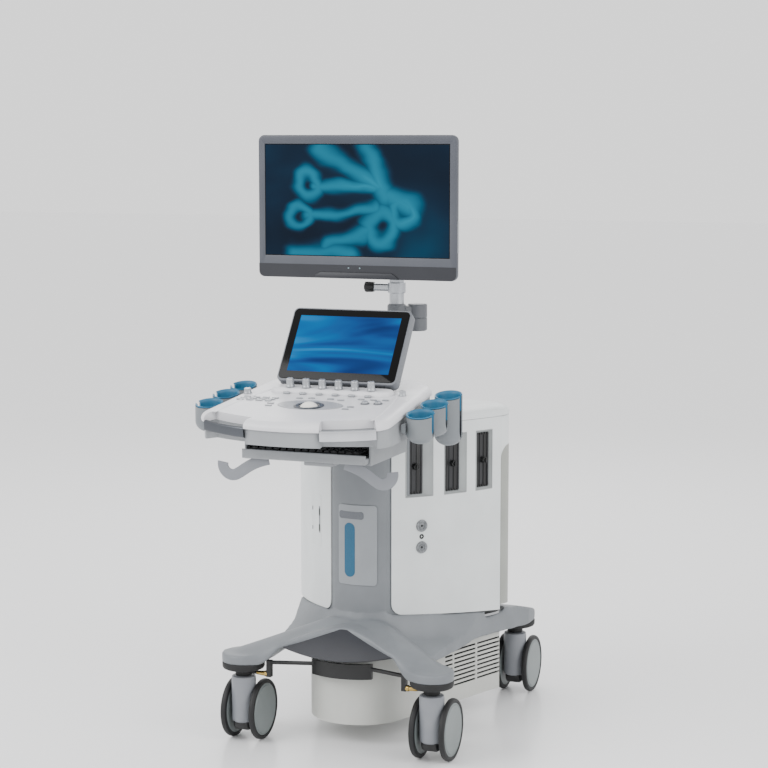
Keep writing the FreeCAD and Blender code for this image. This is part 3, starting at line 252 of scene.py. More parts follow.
@dataclass(frozen=True)
class Picture:
    """A lit display: soft bands or branching shapes between three colours."""

    name: str
    dark: str
    middle: str
    light: str
    scale: float
    warp: float
    stretch: tuple[float, float, float]
    glow: float
    stops: tuple[float, float, float] = (0.30, 0.52, 0.75)
    strokes: tuple[Stroke, ...] = ()

    def build(self) -> bpy.types.Material:
        """Makes the display's material.

        Returns:
            A glossy black surface that glows with a noise field read on the piece's UV map.
        """
        material = bpy.data.materials.new(self.name)
        material.use_nodes = True
        tree = material.node_tree
        tree.nodes.clear()
        place = add(tree, "ShaderNodeTexCoord").outputs["UV"]
        mapped = add(tree, "ShaderNodeMapping",
                     {"Scale": self.stretch, "Rotation": (0.0, 0.0, -0.12)}, {"Vector": place})
        field_ = add(tree, "ShaderNodeTexNoise",
                     {"Scale": self.scale, "Detail": 2.5, "Roughness": 0.42,
                      "Distortion": self.warp}, {"Vector": mapped.outputs["Vector"]})
        level = field_.outputs["Fac"]
        if self.strokes:
            wide = add(tree, "ShaderNodeVectorMath", {1: (*SCREEN_ASPECT, 0.0)}, {0: place},
                       operation="MULTIPLY").outputs["Vector"]
            wander = add(tree, "ShaderNodeTexNoise", {"Scale": 4.5, "Detail": 1.5},
                         {"Vector": place})
            shift = add(tree, "ShaderNodeVectorMath",
                        {1: (1.6, 1.6, 0.0), 2: (-0.8, -0.8, 0.0)},
                        {0: wander.outputs["Color"]}, operation="MULTIPLY_ADD")
            wide = add(tree, "ShaderNodeVectorMath",
                       links={0: wide, 1: shift.outputs["Vector"]}).outputs["Vector"]
            top = add(tree, "ShaderNodeValue").outputs["Value"]
            top.default_value = 0.0
            for stroke in self.strokes:
                top = add(tree, "ShaderNodeMath", links={0: top, 1: stroke.field(tree, wide)},
                          operation="MAXIMUM").outputs["Value"]
            haze = add(tree, "ShaderNodeMath", {1: 0.55}, {0: level}, operation="MULTIPLY")
            lit = add(tree, "ShaderNodeMath", {1: 0.62}, {0: top}, operation="MULTIPLY")
            level = add(tree, "ShaderNodeMath",
                        links={0: haze.outputs["Value"], 1: lit.outputs["Value"]},
                        operation="ADD").outputs["Value"]
        ramp = add(tree, "ShaderNodeValToRGB", links={"Fac": level})
        ramp.color_ramp.interpolation = "B_SPLINE"
        points = ramp.color_ramp.elements
        points[0].position, points[0].color = self.stops[0], linear(self.dark)
        points[1].position, points[1].color = self.stops[2], linear(self.light)
        centre = points.new(self.stops[1])
        centre.color = linear(self.middle)
        shader = add(tree, "ShaderNodeBsdfPrincipled",
                     {"Base Color": linear("020203"), "Roughness": 0.14,
                      "Specular IOR Level": 0.12, "Emission Strength": self.glow},
                     {"Emission Color": ramp.outputs["Color"]})
        add(tree, "ShaderNodeOutputMaterial", links={"Surface": shader.outputs["BSDF"]})
        return material


class Look(Enum):
    """Every finish on the machine, named for the real material and, where it carries painted
    shade, for that shade.
    """

    # Every finish below takes painted shade in its corners from Finish.build, by its corner share.
    # Satin ABS with a very fine spark-eroded grain: a soft broad highlight.
    WHITE_ABS = Finish("white_abs", "d9dddd", "d3d7d7", 0.42, grain_mm=0.9, bump_mm=0.01)
    # The deck is the same plastic, a touch warmer, and handled smooth.
    DECK_ABS = Finish("deck_abs", "dcdcdf", "d5d5d9", 0.36, grain_mm=0.9, bump_mm=0.01)
    # Polyester powder coat on cast aluminium: orange peel of about 2 mm.
    CAST_PAINT = Finish("powder_coated_casting", "75797d", "6e7276", 0.48, grain_mm=2.2,
                        bump_mm=0.05, corner_shade_and_dust=0.2)
    # Polycarbonate, moulded with a grain for the parts that are knocked about.
    TUB_PC = Finish("moulded_polycarbonate", "bcbdb8", "b5b6b1", 0.55, grain_mm=1.0)
    COVER_ABS = Finish("grained_abs_cover", "989a94", "90928c", 0.5, grain_mm=1.4)
    UNDER_ABS = Finish("grained_abs_underbody", "94979a", "8c8f92", 0.5, grain_mm=1.4)
    CUP_ABS = Finish("grained_abs_cups", "777c7f", "70757a", 0.42, grain_mm=1.1)
    SLATE_ABS = Finish("slate_abs", "1f2128", "1b1d24", 0.46, grain_mm=1.2, bump_mm=0.03)
    PANEL_ABS = Finish("grey_abs_panel", "6c6f75", "65686e", 0.45, grain_mm=1.0)
    BEZEL_ABS = Finish("bezel_abs", "484b53", "43464e", 0.5, grain_mm=0.8)
    BLACK_ABS = Finish("black_abs", "08090a", "060708", 0.42, grain_mm=0.8)
    SOCKET_PBT = Finish("dark_pbt_socket", "1c1d20", "17181b", 0.4, grain_mm=0.7)
    # Thermoplastic rubber: matt, and shows lint in its corners.
    TYRE_TPR = Finish("tyre_rubber", "0a0b0c", "0f1012", 0.6, grain_mm=1.6, bump_mm=0.04)
    PAD_TPR = Finish("pad_rubber", "0e0f11", "0b0c0d", 0.62, grain_mm=1.6, bump_mm=0.04)
    LINER_TPU = Finish("teal_polyurethane", "1b6688", "175d7e", 0.5, grain_mm=1.0)
    WHEEL_PA = Finish("wheel_nylon", "757c7c", "6e7575", 0.44, grain_mm=1.0)
    FORK_PAINT = Finish("fork_enamel", "7f8287", "787b81", 0.42, grain_mm=1.8)
    BLACK_STEEL = Finish("powder_coated_steel", "08090a", "0d0e0f", 0.45, grain_mm=1.5)
    # Clear anodised aluminium, brushed along its length: stretched grain.
    BRIGHT_ALU = Finish("brushed_aluminium", "cfd1d4", "c2c4c8", 0.2, 1.0, grain_mm=0.8,
                        brushed=(0.05, 1.0, 1.0), corner_shade_and_dust=0.1)
    POST_ALU = Finish("anodised_post", "b9bcc0", "aeb1b6", 0.3, 1.0, grain_mm=0.8,
                      brushed=(1.0, 1.0, 0.05), corner_shade_and_dust=0.15)
    # Painted shade: a darker satin grey for the left grip, a shaded copy of the bright right grip,
    # and for the trackball collar.
    SHADE_PAINTED_GREY = Finish("satin_grey_painted_shade", "55585d", "4f5257", 0.32, 0.85, grain_mm=0.8,
                        brushed=(0.05, 1.0, 1.0))
    ARM_PAINT = Finish("arm_enamel", "5d6064", "57595e", 0.4, grain_mm=1.6)
    HOOK_PAINT = Finish("hook_nylon", "83868b", "7b7e84", 0.45, grain_mm=1.2)
    BADGE = Finish("badge_plate_paint", "8b8f93", "85898d", 0.36, grain_mm=0.8)
    NAMEPLATE = Finish("etched_nameplate", "65686d", "5d6065", 0.3, 0.6, grain_mm=0.5)
    TEAL_PRINT = Finish("teal_print", "045272", "034d6b", 0.3, grain_mm=0.8)
    BALL = Finish("pearl_phenolic_ball", "efede6", "e6e4dd", 0.12, coat=0.5, bump_mm=0.0)
    # Painted shade: the port recesses are coloured a darker grey than the white panel, for the
    # shade inside them.
    RECESS_SHADED_ABS = Finish("recess_abs_painted_shade", "9da1a1", "969a9a", 0.45, grain_mm=0.9)
    LEAD_PBT = Finish("mottled_lead_socket", "85888b", "5e6164", 0.45, grain_mm=0.9,
                      mottle_mm=5.0)
    RING_ABS = Finish("grey_ring_abs", "9c9ea3", "94969b", 0.3, grain_mm=0.8)
    KEY_ABS = Finish("silver_key_abs", "acafb3", "a4a7ab", 0.28, 0.5, grain_mm=0.6)
    BRASS = Finish("turned_brass", "b59a5b", "a98d50", 0.3, 1.0, grain_mm=0.6)
    STEEL = Finish("zinc_plated_steel", "a9abad", "9fa1a3", 0.35, 1.0, grain_mm=2.0)
    GLASS = Finish("black_cover_glass", "020203", "030304", 0.1, ior=1.52, gloss=0.12,
                   bump_mm=0.0, corner_shade_and_dust=0.0)
    LAMP = Picture("green_lamp", "8fb5c0", "b8d6de", "d8f0f5", 1.0, 0.0, (1, 1, 1), 0.9)
    MONITOR_PICTURE = Picture(
        "monitor_picture", "020818", "033a5c", "0790b0", 1.3, 0.4, (1.4, 1.0, 1.0), 1.0,
        (0.20, 0.48, 0.92), (
            Stroke((0.24, 0.66), (0.24, 0.66), 0.95, True), Stroke((0.28, 0.66), (0.6, 0.6), 0.5),
            Stroke((0.18, 0.36), (0.18, 0.36), 0.85, True), Stroke((0.22, 0.36), (0.6, 0.42), 0.6),
            Stroke((0.3, 0.98), (0.62, 0.62), 0.9), Stroke((0.56, 1.0), (0.66, 0.5), 1.0),
            Stroke((0.68, 0.52), (0.79, 0.44), 1.1), Stroke((0.76, 0.38), (0.76, 0.38), 0.9, True),
            Stroke((0.64, 0.26), (0.64, 0.26), 1.1, True), Stroke((0.56, 0.22), (0.34, 0.1), 0.7),
            Stroke((0.15, 0.02), (0.46, 0.02), 0.9)))
    TOUCH_PICTURE = Picture("touch_picture", "00205c", "0058ac", "00b8f0", 1.15, 0.9,
                            (0.55, 2.0, 1.0), 1.15, (0.34, 0.5, 0.68))


class Palette:
    """Builds each finish once, the first time that a piece asks for it."""

    def __init__(self) -> None:
        """Starts with nothing built."""
        self._built: dict[Look, bpy.types.Material] = {}

    def get(self, look: Look) -> bpy.types.Material:
        """The Blender material of a look."""
        if look not in self._built:
            self._built[look] = look.value.build()
        return self._built[look]


PALETTE = Palette()


# ---------------------------------------------------------------- curves and surfaces


def arc_points(centre: Sequence[float], radius: float, start: float, end: float,
               count: int) -> Array:
    """Points of a circle between two bearings.

    A bearing is measured in degrees from -Y towards +X, so a point is the centre plus
    radius times (sin, -cos) of its bearing.

    Args:
        centre: X and Y.
        radius: in millimetres.
        start: first bearing.
        end: last bearing.
        count: how many points.

    Returns:
        An array of shape (count, 2).
    """
    bearing = np.radians(np.linspace(start, end, count))
    return np.stack([centre[0] + radius * np.sin(bearing), centre[1] - radius * np.cos(bearing)],
                    axis=-1)


def three_point_arc(first: Sequence[float], middle: Sequence[float], last: Sequence[float],
                    count: int) -> Array:
    """Points on the circle through three points, from the first to the last.

    The centre is where the two chords' perpendicular bisectors meet; the angle then runs
    evenly from the first point through the middle one.
    """
    a, b, c = (np.asarray(p, float) for p in (first, middle, last))
    matrix = 2 * np.array([b - a, c - b])
    centre = np.linalg.solve(matrix, np.array([b @ b - a @ a, c @ c - b @ b]))
    angles = np.unwrap([math.atan2(*(p - centre)[::-1]) for p in (a, b, c)])
    sweep = np.linspace(angles[0], angles[2], count)
    radius = np.linalg.norm(a - centre)
    return centre + radius * np.stack([np.cos(sweep), np.sin(sweep)], axis=-1)


def mirror_close(half: Array) -> Array:
    """A closed loop from its right half, given from the front middle to the rear middle."""
    left = half[::-1] * np.array([-1.0, 1.0])
    keep_front = abs(half[0, 0]) > 1e-6
    keep_rear = abs(half[-1, 0]) > 1e-6
    left = left[(0 if keep_rear else 1):(None if keep_front else -1)]
    return np.concatenate([half, left])


def inward(loop: Array, distance: float | Array) -> Array:
    """Moves a closed anticlockwise loop inwards along its own normals."""
    ahead = np.roll(loop, -1, axis=0) - np.roll(loop, 1, axis=0)
    normal = np.stack([-ahead[:, 1], ahead[:, 0]], axis=-1)
    normal /= np.linalg.norm(normal, axis=1, keepdims=True)
    return loop + normal * np.reshape(distance, (-1, 1))


def rounded_rectangle(width: float, height: float, radius: float, steps: int = 8,
                      centre: Sequence[float] = (0.0, 0.0)) -> Array:
    """An anticlockwise rectangle with quarter-circle corners, as a closed loop."""
    quarter = np.radians(np.linspace(0, 90, steps))
    corners = []
    for index, (sx, sy) in enumerate(((1, 1), (-1, 1), (-1, -1), (1, -1))):
        angle = quarter + index * math.pi / 2
        hub = np.array([sx * (width / 2 - radius), sy * (height / 2 - radius)])
        corners.append(hub + radius * np.stack([np.cos(angle), np.sin(angle)], axis=-1))
    return np.concatenate(corners) + np.asarray(centre)


def grid_faces(rows: int, columns: int, closed: bool) -> Array:
    """Quads between the points of a grid stored row by row."""
    across = columns if closed else columns - 1
    row, column = np.meshgrid(np.arange(rows - 1), np.arange(across), indexing="ij")
    beside = (column + 1) % columns
    return np.stack([row * columns + column, row * columns + beside,
                     (row + 1) * columns + beside, (row + 1) * columns + column],
                    axis=-1).reshape(-1, 4)


def placed(name: str, data: bpy.types.ID) -> bpy.types.Object:
    """A new object around some data, linked to the scene."""
    obj = bpy.data.objects.new(name, data)
    bpy.context.scene.collection.objects.link(obj)
    return obj


def full_turn(count: int) -> Array:
    """Even angles round a whole circle, in radians."""
    return np.linspace(0, 2 * math.pi, count, endpoint=False)


def at_level(loop: Array, level: float | Array) -> Array:
    """A plan loop lifted to a level, as (n, 3) points."""
    return np.column_stack([loop, np.broadcast_to(level, len(loop))])


def make_mesh(name: str, points: Array, faces: Iterable[Sequence[int]],
              merge_mm: float = 0.01) -> bpy.types.Object:
    """Puts computed points into a mesh object in the row's frame.

    Args:
        name: the piece's name.
        points: (n, 3) in the machine's datum, millimetres.
        faces: corner numbers of each face.
        merge_mm: points nearer than this become one, which closes seams and poles.

    Returns:
        The object, at the origin, with its faces turned outwards.
    """
    metres = (np.asarray(points, float).reshape(-1, 3) - (0.0, FRONT_AXIS_Y, 0.0)) * MM
    mesh = bpy.data.meshes.new(name)
    mesh.from_pydata(metres.tolist(), [], [list(map(int, face)) for face in faces])
    work = bmesh.new()
    work.from_mesh(mesh)
    bmesh.ops.remove_doubles(work, verts=work.verts, dist=merge_mm * MM)
    bmesh.ops.dissolve_degenerate(work, edges=work.edges, dist=merge_mm * MM * 0.5)
    bmesh.ops.recalc_face_normals(work, faces=work.faces)
    work.to_mesh(mesh)
    work.free()
    return placed(name, mesh)


def loft(name: str, loops: Array, caps: bool = True, closed_rows: bool = False,
         datum: Callable[[Array], Array] | None = None) -> bpy.types.Object:
    """A surface through equal closed loops, capped at both ends.

    The surface is a function of two grid parameters, the loop's number and the place on it.

    Args:
        name: the piece's name.
        loops: (rows, columns, 3) points.
        caps: closes the first and last loop with a face.
        closed_rows: joins the last loop to the first, as in a ring.
        datum: turns leaning coordinates into the machine's datum.
    """
    loops = np.asarray(loops, float)
    rows, columns = loops.shape[:2]
    faces = grid_faces(rows, columns, True).tolist()
    if closed_rows:
        last = (rows - 1) * columns
        faces += [[last + i, last + (i + 1) % columns, (i + 1) % columns, i]
                  for i in range(columns)]
    elif caps:
        faces.append(list(range(columns)))
        faces.append(list(range((rows - 1) * columns, rows * columns)))
    points = loops.reshape(-1, 3)
    return make_mesh(name, datum(points) if datum else points, faces)


def stack(outline: Array, levels: Sequence[tuple[float, float]]) -> Array:
    """Loops of one outline at (height, inset) levels; the inset moves along the normals."""
    rows = []
    for height, inset in levels:
        loop = inward(outline, inset)
        rows.append(at_level(loop, height))
    return np.array(rows)


def rolled_levels(low: float, high: float, edge: float, steps: int = 5,
                  inset: float = 0.0) -> list[tuple[float, float]]:
    """Levels of a slab whose two rims are rounded by quarter circles of radius edge."""
    turn = np.linspace(0, math.pi / 2, steps)
    foot = [(low + edge * (1 - math.sin(a)), inset + edge * (1 - math.cos(a)))
            for a in turn[::-1]]
    head = [(high - edge * (1 - math.sin(a)), inset + edge * (1 - math.cos(a))) for a in turn]
    return foot + head


def lathe(name: str, profile: Sequence[tuple[float, float]], count: int = 48,
          datum: Callable[[Array], Array] | None = None) -> bpy.types.Object:
    """A surface of revolution about the datum's third axis.

    Args:
        name: the piece's name.
        profile: (radius, height) from one end to the other; a radius of 0 closes a pole.
        count: steps round the axis.
        datum: places the turned shape.
    """
    radii = np.array([p[0] for p in profile], float)
    heights = np.array([p[1] for p in profile], float)
    angle = full_turn(count)
    rows = np.stack([np.outer(radii, np.cos(angle)), np.outer(radii, np.sin(angle)),
                     np.repeat(heights[:, None], count, axis=1)], axis=-1)
    ring = radii[0] > 0.01 and abs(radii[0] - radii[-1]) < 0.01 and \
        abs(heights[0] - heights[-1]) < 0.01
    return loft(name, rows[:-1] if ring else rows, caps=not ring, closed_rows=ring, datum=datum)


def sweep(name: str, section: Array, path: Array, up: Array,
          datum: Callable[[Array], Array] | None = None) -> bpy.types.Object:
    """Carries a closed section along a path.

    At each path point the section's first coordinate lies along tangent x up, and its second
    along up.
    """
    path = np.asarray(path, float)
    tangent = np.gradient(path, axis=0)
    tangent /= np.linalg.norm(tangent, axis=1, keepdims=True)
    lift = np.broadcast_to(np.asarray(up, float), path.shape)
    side = np.cross(tangent, lift)
    side /= np.linalg.norm(side, axis=1, keepdims=True)
    lift = np.cross(side, tangent)
    rows = path[:, None, :] + section[None, :, :1] * side[:, None, :] \
        + section[None, :, 1:] * lift[:, None, :]
    return loft(name, rows, datum=datum)


def sheet_grid(name: str, across: Array, along: Array, place: Callable[[Array, Array], Array],
               keep: Callable[[Array, Array], Array] | None = None) -> bpy.types.Object:
    """An open surface over a grid of two parameters, with unwanted cells left out.

    Args:
        name: the piece's name.
        across: grid lines of the first parameter.
        along: grid lines of the second parameter.
        place: gives (n, m, 3) points for meshed parameters.
        keep: says for each cell's middle whether the cell stays.
    """
    first, second = np.meshgrid(across, along, indexing="ij")
    points = place(first, second).reshape(-1, 3)
    faces = grid_faces(len(across), len(along), False)
    if keep is not None:
        mid_a = ((across[:-1] + across[1:]) / 2)[:, None]
        mid_b = ((along[:-1] + along[1:]) / 2)[None, :]
        faces = faces[np.broadcast_to(keep(mid_a, mid_b), (len(across) - 1, len(along) - 1))
                      .reshape(-1)]
    return make_mesh(name, points, faces)


def lines(low: float, high: float, step: float, cuts: Iterable[float] = ()) -> Array:
    """Grid lines about one step apart that include both ends and every cut between them."""
    marks = sorted({low, high, *[c for c in cuts if low < c < high]})
    runs = [np.linspace(a, b, max(2, int(round((b - a) / step)) + 1))[:-1]
            for a, b in zip(marks, marks[1:])]
    return np.concatenate(runs + [np.array([high])])


# ---------------------------------------------------------------- leaning datums


def leaning(base: Sequence[float], degrees: float) -> Callable[[Array], Array]:
    """A datum turned about X by an angle and moved to its base point."""
    angle = math.radians(degrees)
    turn = np.array([[1, 0, 0], [0, math.cos(angle), -math.sin(angle)],
                     [0, math.sin(angle), math.cos(angle)]])
    return lambda points: np.asarray(points, float) @ turn.T + np.asarray(base, float)


def on_axis(base: Sequence[float], axis: Sequence[float],
            across: Sequence[float] = (0, 0, 1)) -> Callable[[Array], Array]:
    """A datum whose third axis lies along a direction and whose second is nearest across."""
    third = np.asarray(axis, float) / np.linalg.norm(axis)
    first = np.cross(np.asarray(across, float), third)
    if np.linalg.norm(first) < 1e-6:
        first = np.cross((0.0, 1.0, 0.0), third)
    first /= np.linalg.norm(first)
    turn = np.array([first, np.cross(third, first), third])
    return lambda points: np.asarray(points, float) @ turn + np.asarray(base, float)


def upright(x: float, y: float) -> Callable[[Array], Array]:
    """A datum that stands on the floor at a point, with its third axis up."""
    return on_axis((x, y, 0), (0, 0, 1), (0, 1, 0))


DECK = leaning((0.0, -158.0, 862.0), 6.0)
TOUCH = leaning((0.0, 0.0, 902.0), 54.5)


def on_deck(x: float, y: float, height: float = 0.0) -> Callable[[Array], Array]:
    """A datum standing on the control deck."""
    return lambda points: DECK(np.asarray(points, float) + (x, y, height))


# ---------------------------------------------------------------- finishing a piece


def harden(obj: bpy.types.Object, bevel_mm: float = 0.0, thick_mm: float = 0.0,
           segments: int = 3, smooth: float = 32.0, even: bool = True) -> bpy.types.Object:
    """Gives a piece its wall and rounded edges, and shades it smooth up to an angle.

    Args:
        obj: the piece.
        bevel_mm: width of the rounding on edges sharper than 35 degrees; 0 for none.
        thick_mm: wall grown inwards on an open surface; 0 for none.
        segments: steps of the rounding.
        smooth: edges sharper than this many degrees stay crisp.
        even: keeps the wall's thickness at corners.

    Returns:
        The same piece with its modifiers applied.
    """
    if thick_mm:
        wall = obj.modifiers.new("wall", "SOLIDIFY")
        wall.thickness = thick_mm * MM
        wall.offset = -1.0
        wall.use_even_offset = even
    if bevel_mm:
        rim = obj.modifiers.new("edges", "BEVEL")
        rim.width = bevel_mm * MM
        rim.segments = segments
        rim.limit_method = "ANGLE"
        rim.angle_limit = BEVEL_ABOVE
    if obj.modifiers:
        bpy.context.view_layer.update()
        graph = bpy.context.evaluated_depsgraph_get()
        old = obj.data
        obj.data = bpy.data.meshes.new_from_object(obj.evaluated_get(graph))
        obj.modifiers.clear()
        bpy.data.meshes.remove(old)
    obj.data.shade_smooth()
    obj.data.set_sharp_from_angle(angle=math.radians(smooth))
    return obj


def rolled_slab(name: str, outline: Array, low: float, high: float, edge: float,
                steps: int = 5,
                datum: Callable[[Array], Array] | None = None) -> bpy.types.Object:
    """A finished slab over an outline between two levels, its rims rolled to a radius."""
    return harden(loft(name, stack(outline, rolled_levels(low, high, edge, steps)),
                       datum=datum))


def turned(name: str, profile: Sequence[tuple[float, float]], count: int,
           datum: Callable[[Array], Array]) -> bpy.types.Object:
    """A finished surface of revolution."""
    return harden(lathe(name, profile, count, datum))


def carve(obj: bpy.types.Object, *tools: bpy.types.Object) -> bpy.types.Object:
    """Takes closed tools out of a closed piece, then removes the tools."""
    for tool in tools:
        cut = obj.modifiers.new("cut", "BOOLEAN")
        cut.operation = "DIFFERENCE"
        cut.solver = "EXACT"
        cut.object = tool
    harden(obj)
    for tool in tools:
        bpy.data.objects.remove(tool)
    return obj


def joined(name: str, parts: Sequence[bpy.types.Object]) -> bpy.types.Object:
    """One object out of several finished ones; their material slots are kept."""
    work = bmesh.new()
    slots: list[bpy.types.Material] = []
    for part in parts:
        start = len(work.faces)
        work.from_mesh(part.data)
        work.faces.ensure_lookup_table()
        numbers = []
        for material in part.data.materials:
            if material not in slots:
                slots.append(material)
            numbers.append(slots.index(material))
        for face in work.faces[start:]:
            face.material_index = numbers[face.material_index] if numbers else 0
    mesh = bpy.data.meshes.new(name)
    work.to_mesh(mesh)
    work.free()
    for material in slots:
        mesh.materials.append(material)
    for part in parts:
        bpy.data.objects.remove(part)
    return placed(name, mesh)


def dress(obj: bpy.types.Object, look: Look) -> bpy.types.Object:
    """Gives a piece one finish."""
    obj.data.materials.clear()
    obj.data.materials.append(PALETTE.get(look))
    return obj


def install(obj: bpy.types.Object, body: str, slot: str, *nodes: str) -> bpy.types.Object:
    """Fixes a finished piece to its body and hides the nodes it replaces.

    Args:
        obj: the piece.
        body: the body it rides on.
        slot: not used.
        nodes: the nodes it replaces.
    """
    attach(obj, body)
    if nodes:
        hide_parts(*nodes)
    LOG.info("%s rides on %s, %d faces", obj.name, body, len(obj.data.polygons))
    return obj


def node_copy(node: str, name: str) -> bpy.types.Object:
    """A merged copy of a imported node's mesh, as a piece of its own."""
    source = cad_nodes()[node]
    mesh = source.data.copy()
    mesh.name = name
    work = bmesh.new()
    work.from_mesh(mesh)
    bmesh.ops.remove_doubles(work, verts=work.verts, dist=0.00001)
    bmesh.ops.dissolve_limit(work, angle_limit=math.radians(1.0), verts=work.verts,
                             edges=work.edges)
    work.to_mesh(mesh)
    work.free()
    return placed(name, mesh)


_FRAME: dict = {}


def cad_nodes() -> dict[str, bpy.types.Object]:
    """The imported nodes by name."""
    return _FRAME["nodes"]


@dataclass
class Assembly:
    """A group of pieces that share a body."""

    body: str

    def fit(self, obj: bpy.types.Object, look: Look, slot: str, *nodes: str
            ) -> bpy.types.Object:
        """Dresses a piece and installs it on this assembly's body."""
        return install(dress(obj, look), self.body, slot, *nodes)


# ---------------------------------------------------------------- upright housing


@dataclass
class Housing(Assembly):
    """The tapered upright body: pillar, panels, lid, rear cover, sockets and badge."""

    nose: tuple[float, float] = (0.0, 252.1)
    nose_r: float = 120.3
    nose_angle: float = 40.0
    flank_r: float = 725.0
    flank_angle: float = 66.5
    corner_r: float = 80.0
    seam: float = 0.6
    panel_top: float = 777.0
    foot_front: float = 306.6
    foot_slope: float = 0.1058
    port_z: float = 672.0
    port_angles: tuple[float, ...] = (45.5, 54.0, 61.7)
    port_scoops: tuple[float, ...] = (19.0, 11.0, 0.0)
    flank: tuple[float, float] = field(init=False)
    corner: tuple[float, float] = field(init=False)

    def __post_init__(self) -> None:
        """Finds the centres of the tangent arcs."""
        edge = arc_points(self.nose, self.nose_r, self.nose_angle, self.nose_angle, 1)[0]
        self.flank = tuple(arc_points(edge, -self.flank_r, self.nose_angle, self.nose_angle,
                                      1)[0])
        reach = self.flank_r - self.corner_r
        self.corner = tuple(arc_points(self.flank, reach, self.flank_angle, self.flank_angle,
                                       1)[0])

    def wall(self, bearing: Array, inset: float | Array = 0.0, side: int = 1) -> Array:
        """Plan points of the housing at a bearing, nose, flank or corner by its size."""
        bearing = np.asarray(bearing, float)
        angle = np.radians(bearing)
        on_nose = bearing < self.nose_angle
        on_flank = bearing <= self.flank_angle
        centre_x = np.where(on_nose, self.nose[0], np.where(on_flank, self.flank[0],
                                                            self.corner[0]))
        centre_y = np.where(on_nose, self.nose[1], np.where(on_flank, self.flank[1],
                                                            self.corner[1]))
        radius = np.where(on_nose, self.nose_r, np.where(on_flank, self.flank_r,
                                                         self.corner_r)) - inset
        return np.stack([side * (centre_x + radius * np.sin(angle)),
                         centre_y - radius * np.cos(angle)], axis=-1)

    def plan(self, inset: float) -> Array:
        """The whole closed plan, moved inwards."""
        bearings = np.concatenate([np.linspace(0, 40, 17), np.linspace(40.5, 66.5, 36),
                                   np.linspace(69, 180, 30)])
        half = self.wall(bearings, inset)
        return mirror_close(np.concatenate([half, [[0.0, half[-1, 1]]]]))

    def foot(self, y: Array) -> Array:
        """Height of the casting's deck under the panels, falling rearwards."""
        return self.foot_front - (y - 160.0) * self.foot_slope + 0.4

    def flank_datum(self, bearing: float, depth: float, height: float, side: int = 1
                    ) -> Callable[[Array], Array]:
        """A datum on the flank: first axis rearwards along it, second up, third outwards."""
        x, y = self.wall(np.array(bearing), depth, side)
        angle = math.radians(bearing)
        rear = np.array([side * math.cos(angle), math.sin(angle), 0.0])
        out = np.array([side * math.sin(angle), -math.cos(angle), 0.0])
        turn = np.array([rear, (0.0, 0.0, 1.0), out])
        return lambda points: np.asarray(points, float) @ turn + np.array([x, y, height])

    def panel(self, side: int) -> bpy.types.Object:
        """One white flank skin with rounded front corners, cut for the ports on the right."""
        low_angle, high_angle = self.nose_angle + 0.35, self.flank_angle - 0.05
        openings = []
        if side > 0:
            for angle, scoop in zip(self.port_angles, self.port_scoops):
                half = math.degrees(28.5 / self.flank_r)
                extra = math.degrees(scoop / self.flank_r)
                openings.append((angle - half, angle + half + extra, self.port_z - 76,
                                 self.port_z + 76))
        cuts_a = [v for o in openings for v in o[:2]]
        cuts_z = [v for o in openings[:1] for v in o[2:]]
        across = lines(low_angle, high_angle, 0.55, cuts_a + [low_angle + 0.12,
                       low_angle + 0.35, low_angle + 0.8, low_angle + 1.5, low_angle + 2.4])
        along = lines(300.0, self.panel_top, 9.0, cuts_z)

        def place(bearing: Array, level: Array) -> Array:
            """Flank points; corner quarter-circles pull the ends of each column in."""
            plan = self.wall(bearing, 0.0, side)
            reach = np.radians(bearing - low_angle) * self.flank_r
            lower, upper = 26.0, 44.0
            rise = lower - np.sqrt(np.maximum(lower**2 - np.maximum(lower - reach, 0)**2, 0))
            drop = upper - np.sqrt(np.maximum(upper**2 - np.maximum(upper - reach, 0)**2, 0))
            bottom = self.foot(plan[..., 1]) + rise
            share_low = np.clip((420.0 - level) / 120.0, 0, 1)
            share_high = np.clip((level - 755.0) / (self.panel_top - 755.0), 0, 1)
            z = level + (bottom - 300.0) * share_low - drop * share_high
            return np.concatenate([plan, z[..., None]], axis=-1)

        def keep(bearing: Array, level: Array) -> Array:
            """Leaves out the cells inside a port opening."""
            inside = np.zeros(np.broadcast(bearing, level).shape, bool)
            for a0, a1, z0, z1 in openings:
                inside |= (bearing > a0) & (bearing < a1) & (level > z0) & (level < z1)
            return ~inside

        obj = sheet_grid(f"panel_{'right' if side > 0 else 'left'}", across, along, place, keep)
        self._face_out(obj)
        return harden(obj, 0.0, 2.9, even=False)

    def _face_out(self, obj: bpy.types.Object) -> None:
        """Turns an open sheet's faces away from the housing's middle."""
        centre = Vector((0.0, (420.0 - FRONT_AXIS_Y) * MM, 0.0))
        face = max(obj.data.polygons, key=lambda p: p.area)
        away = face.center - centre
        if face.normal.x * away.x + face.normal.y * away.y < 0:
            obj.data.flip_normals()

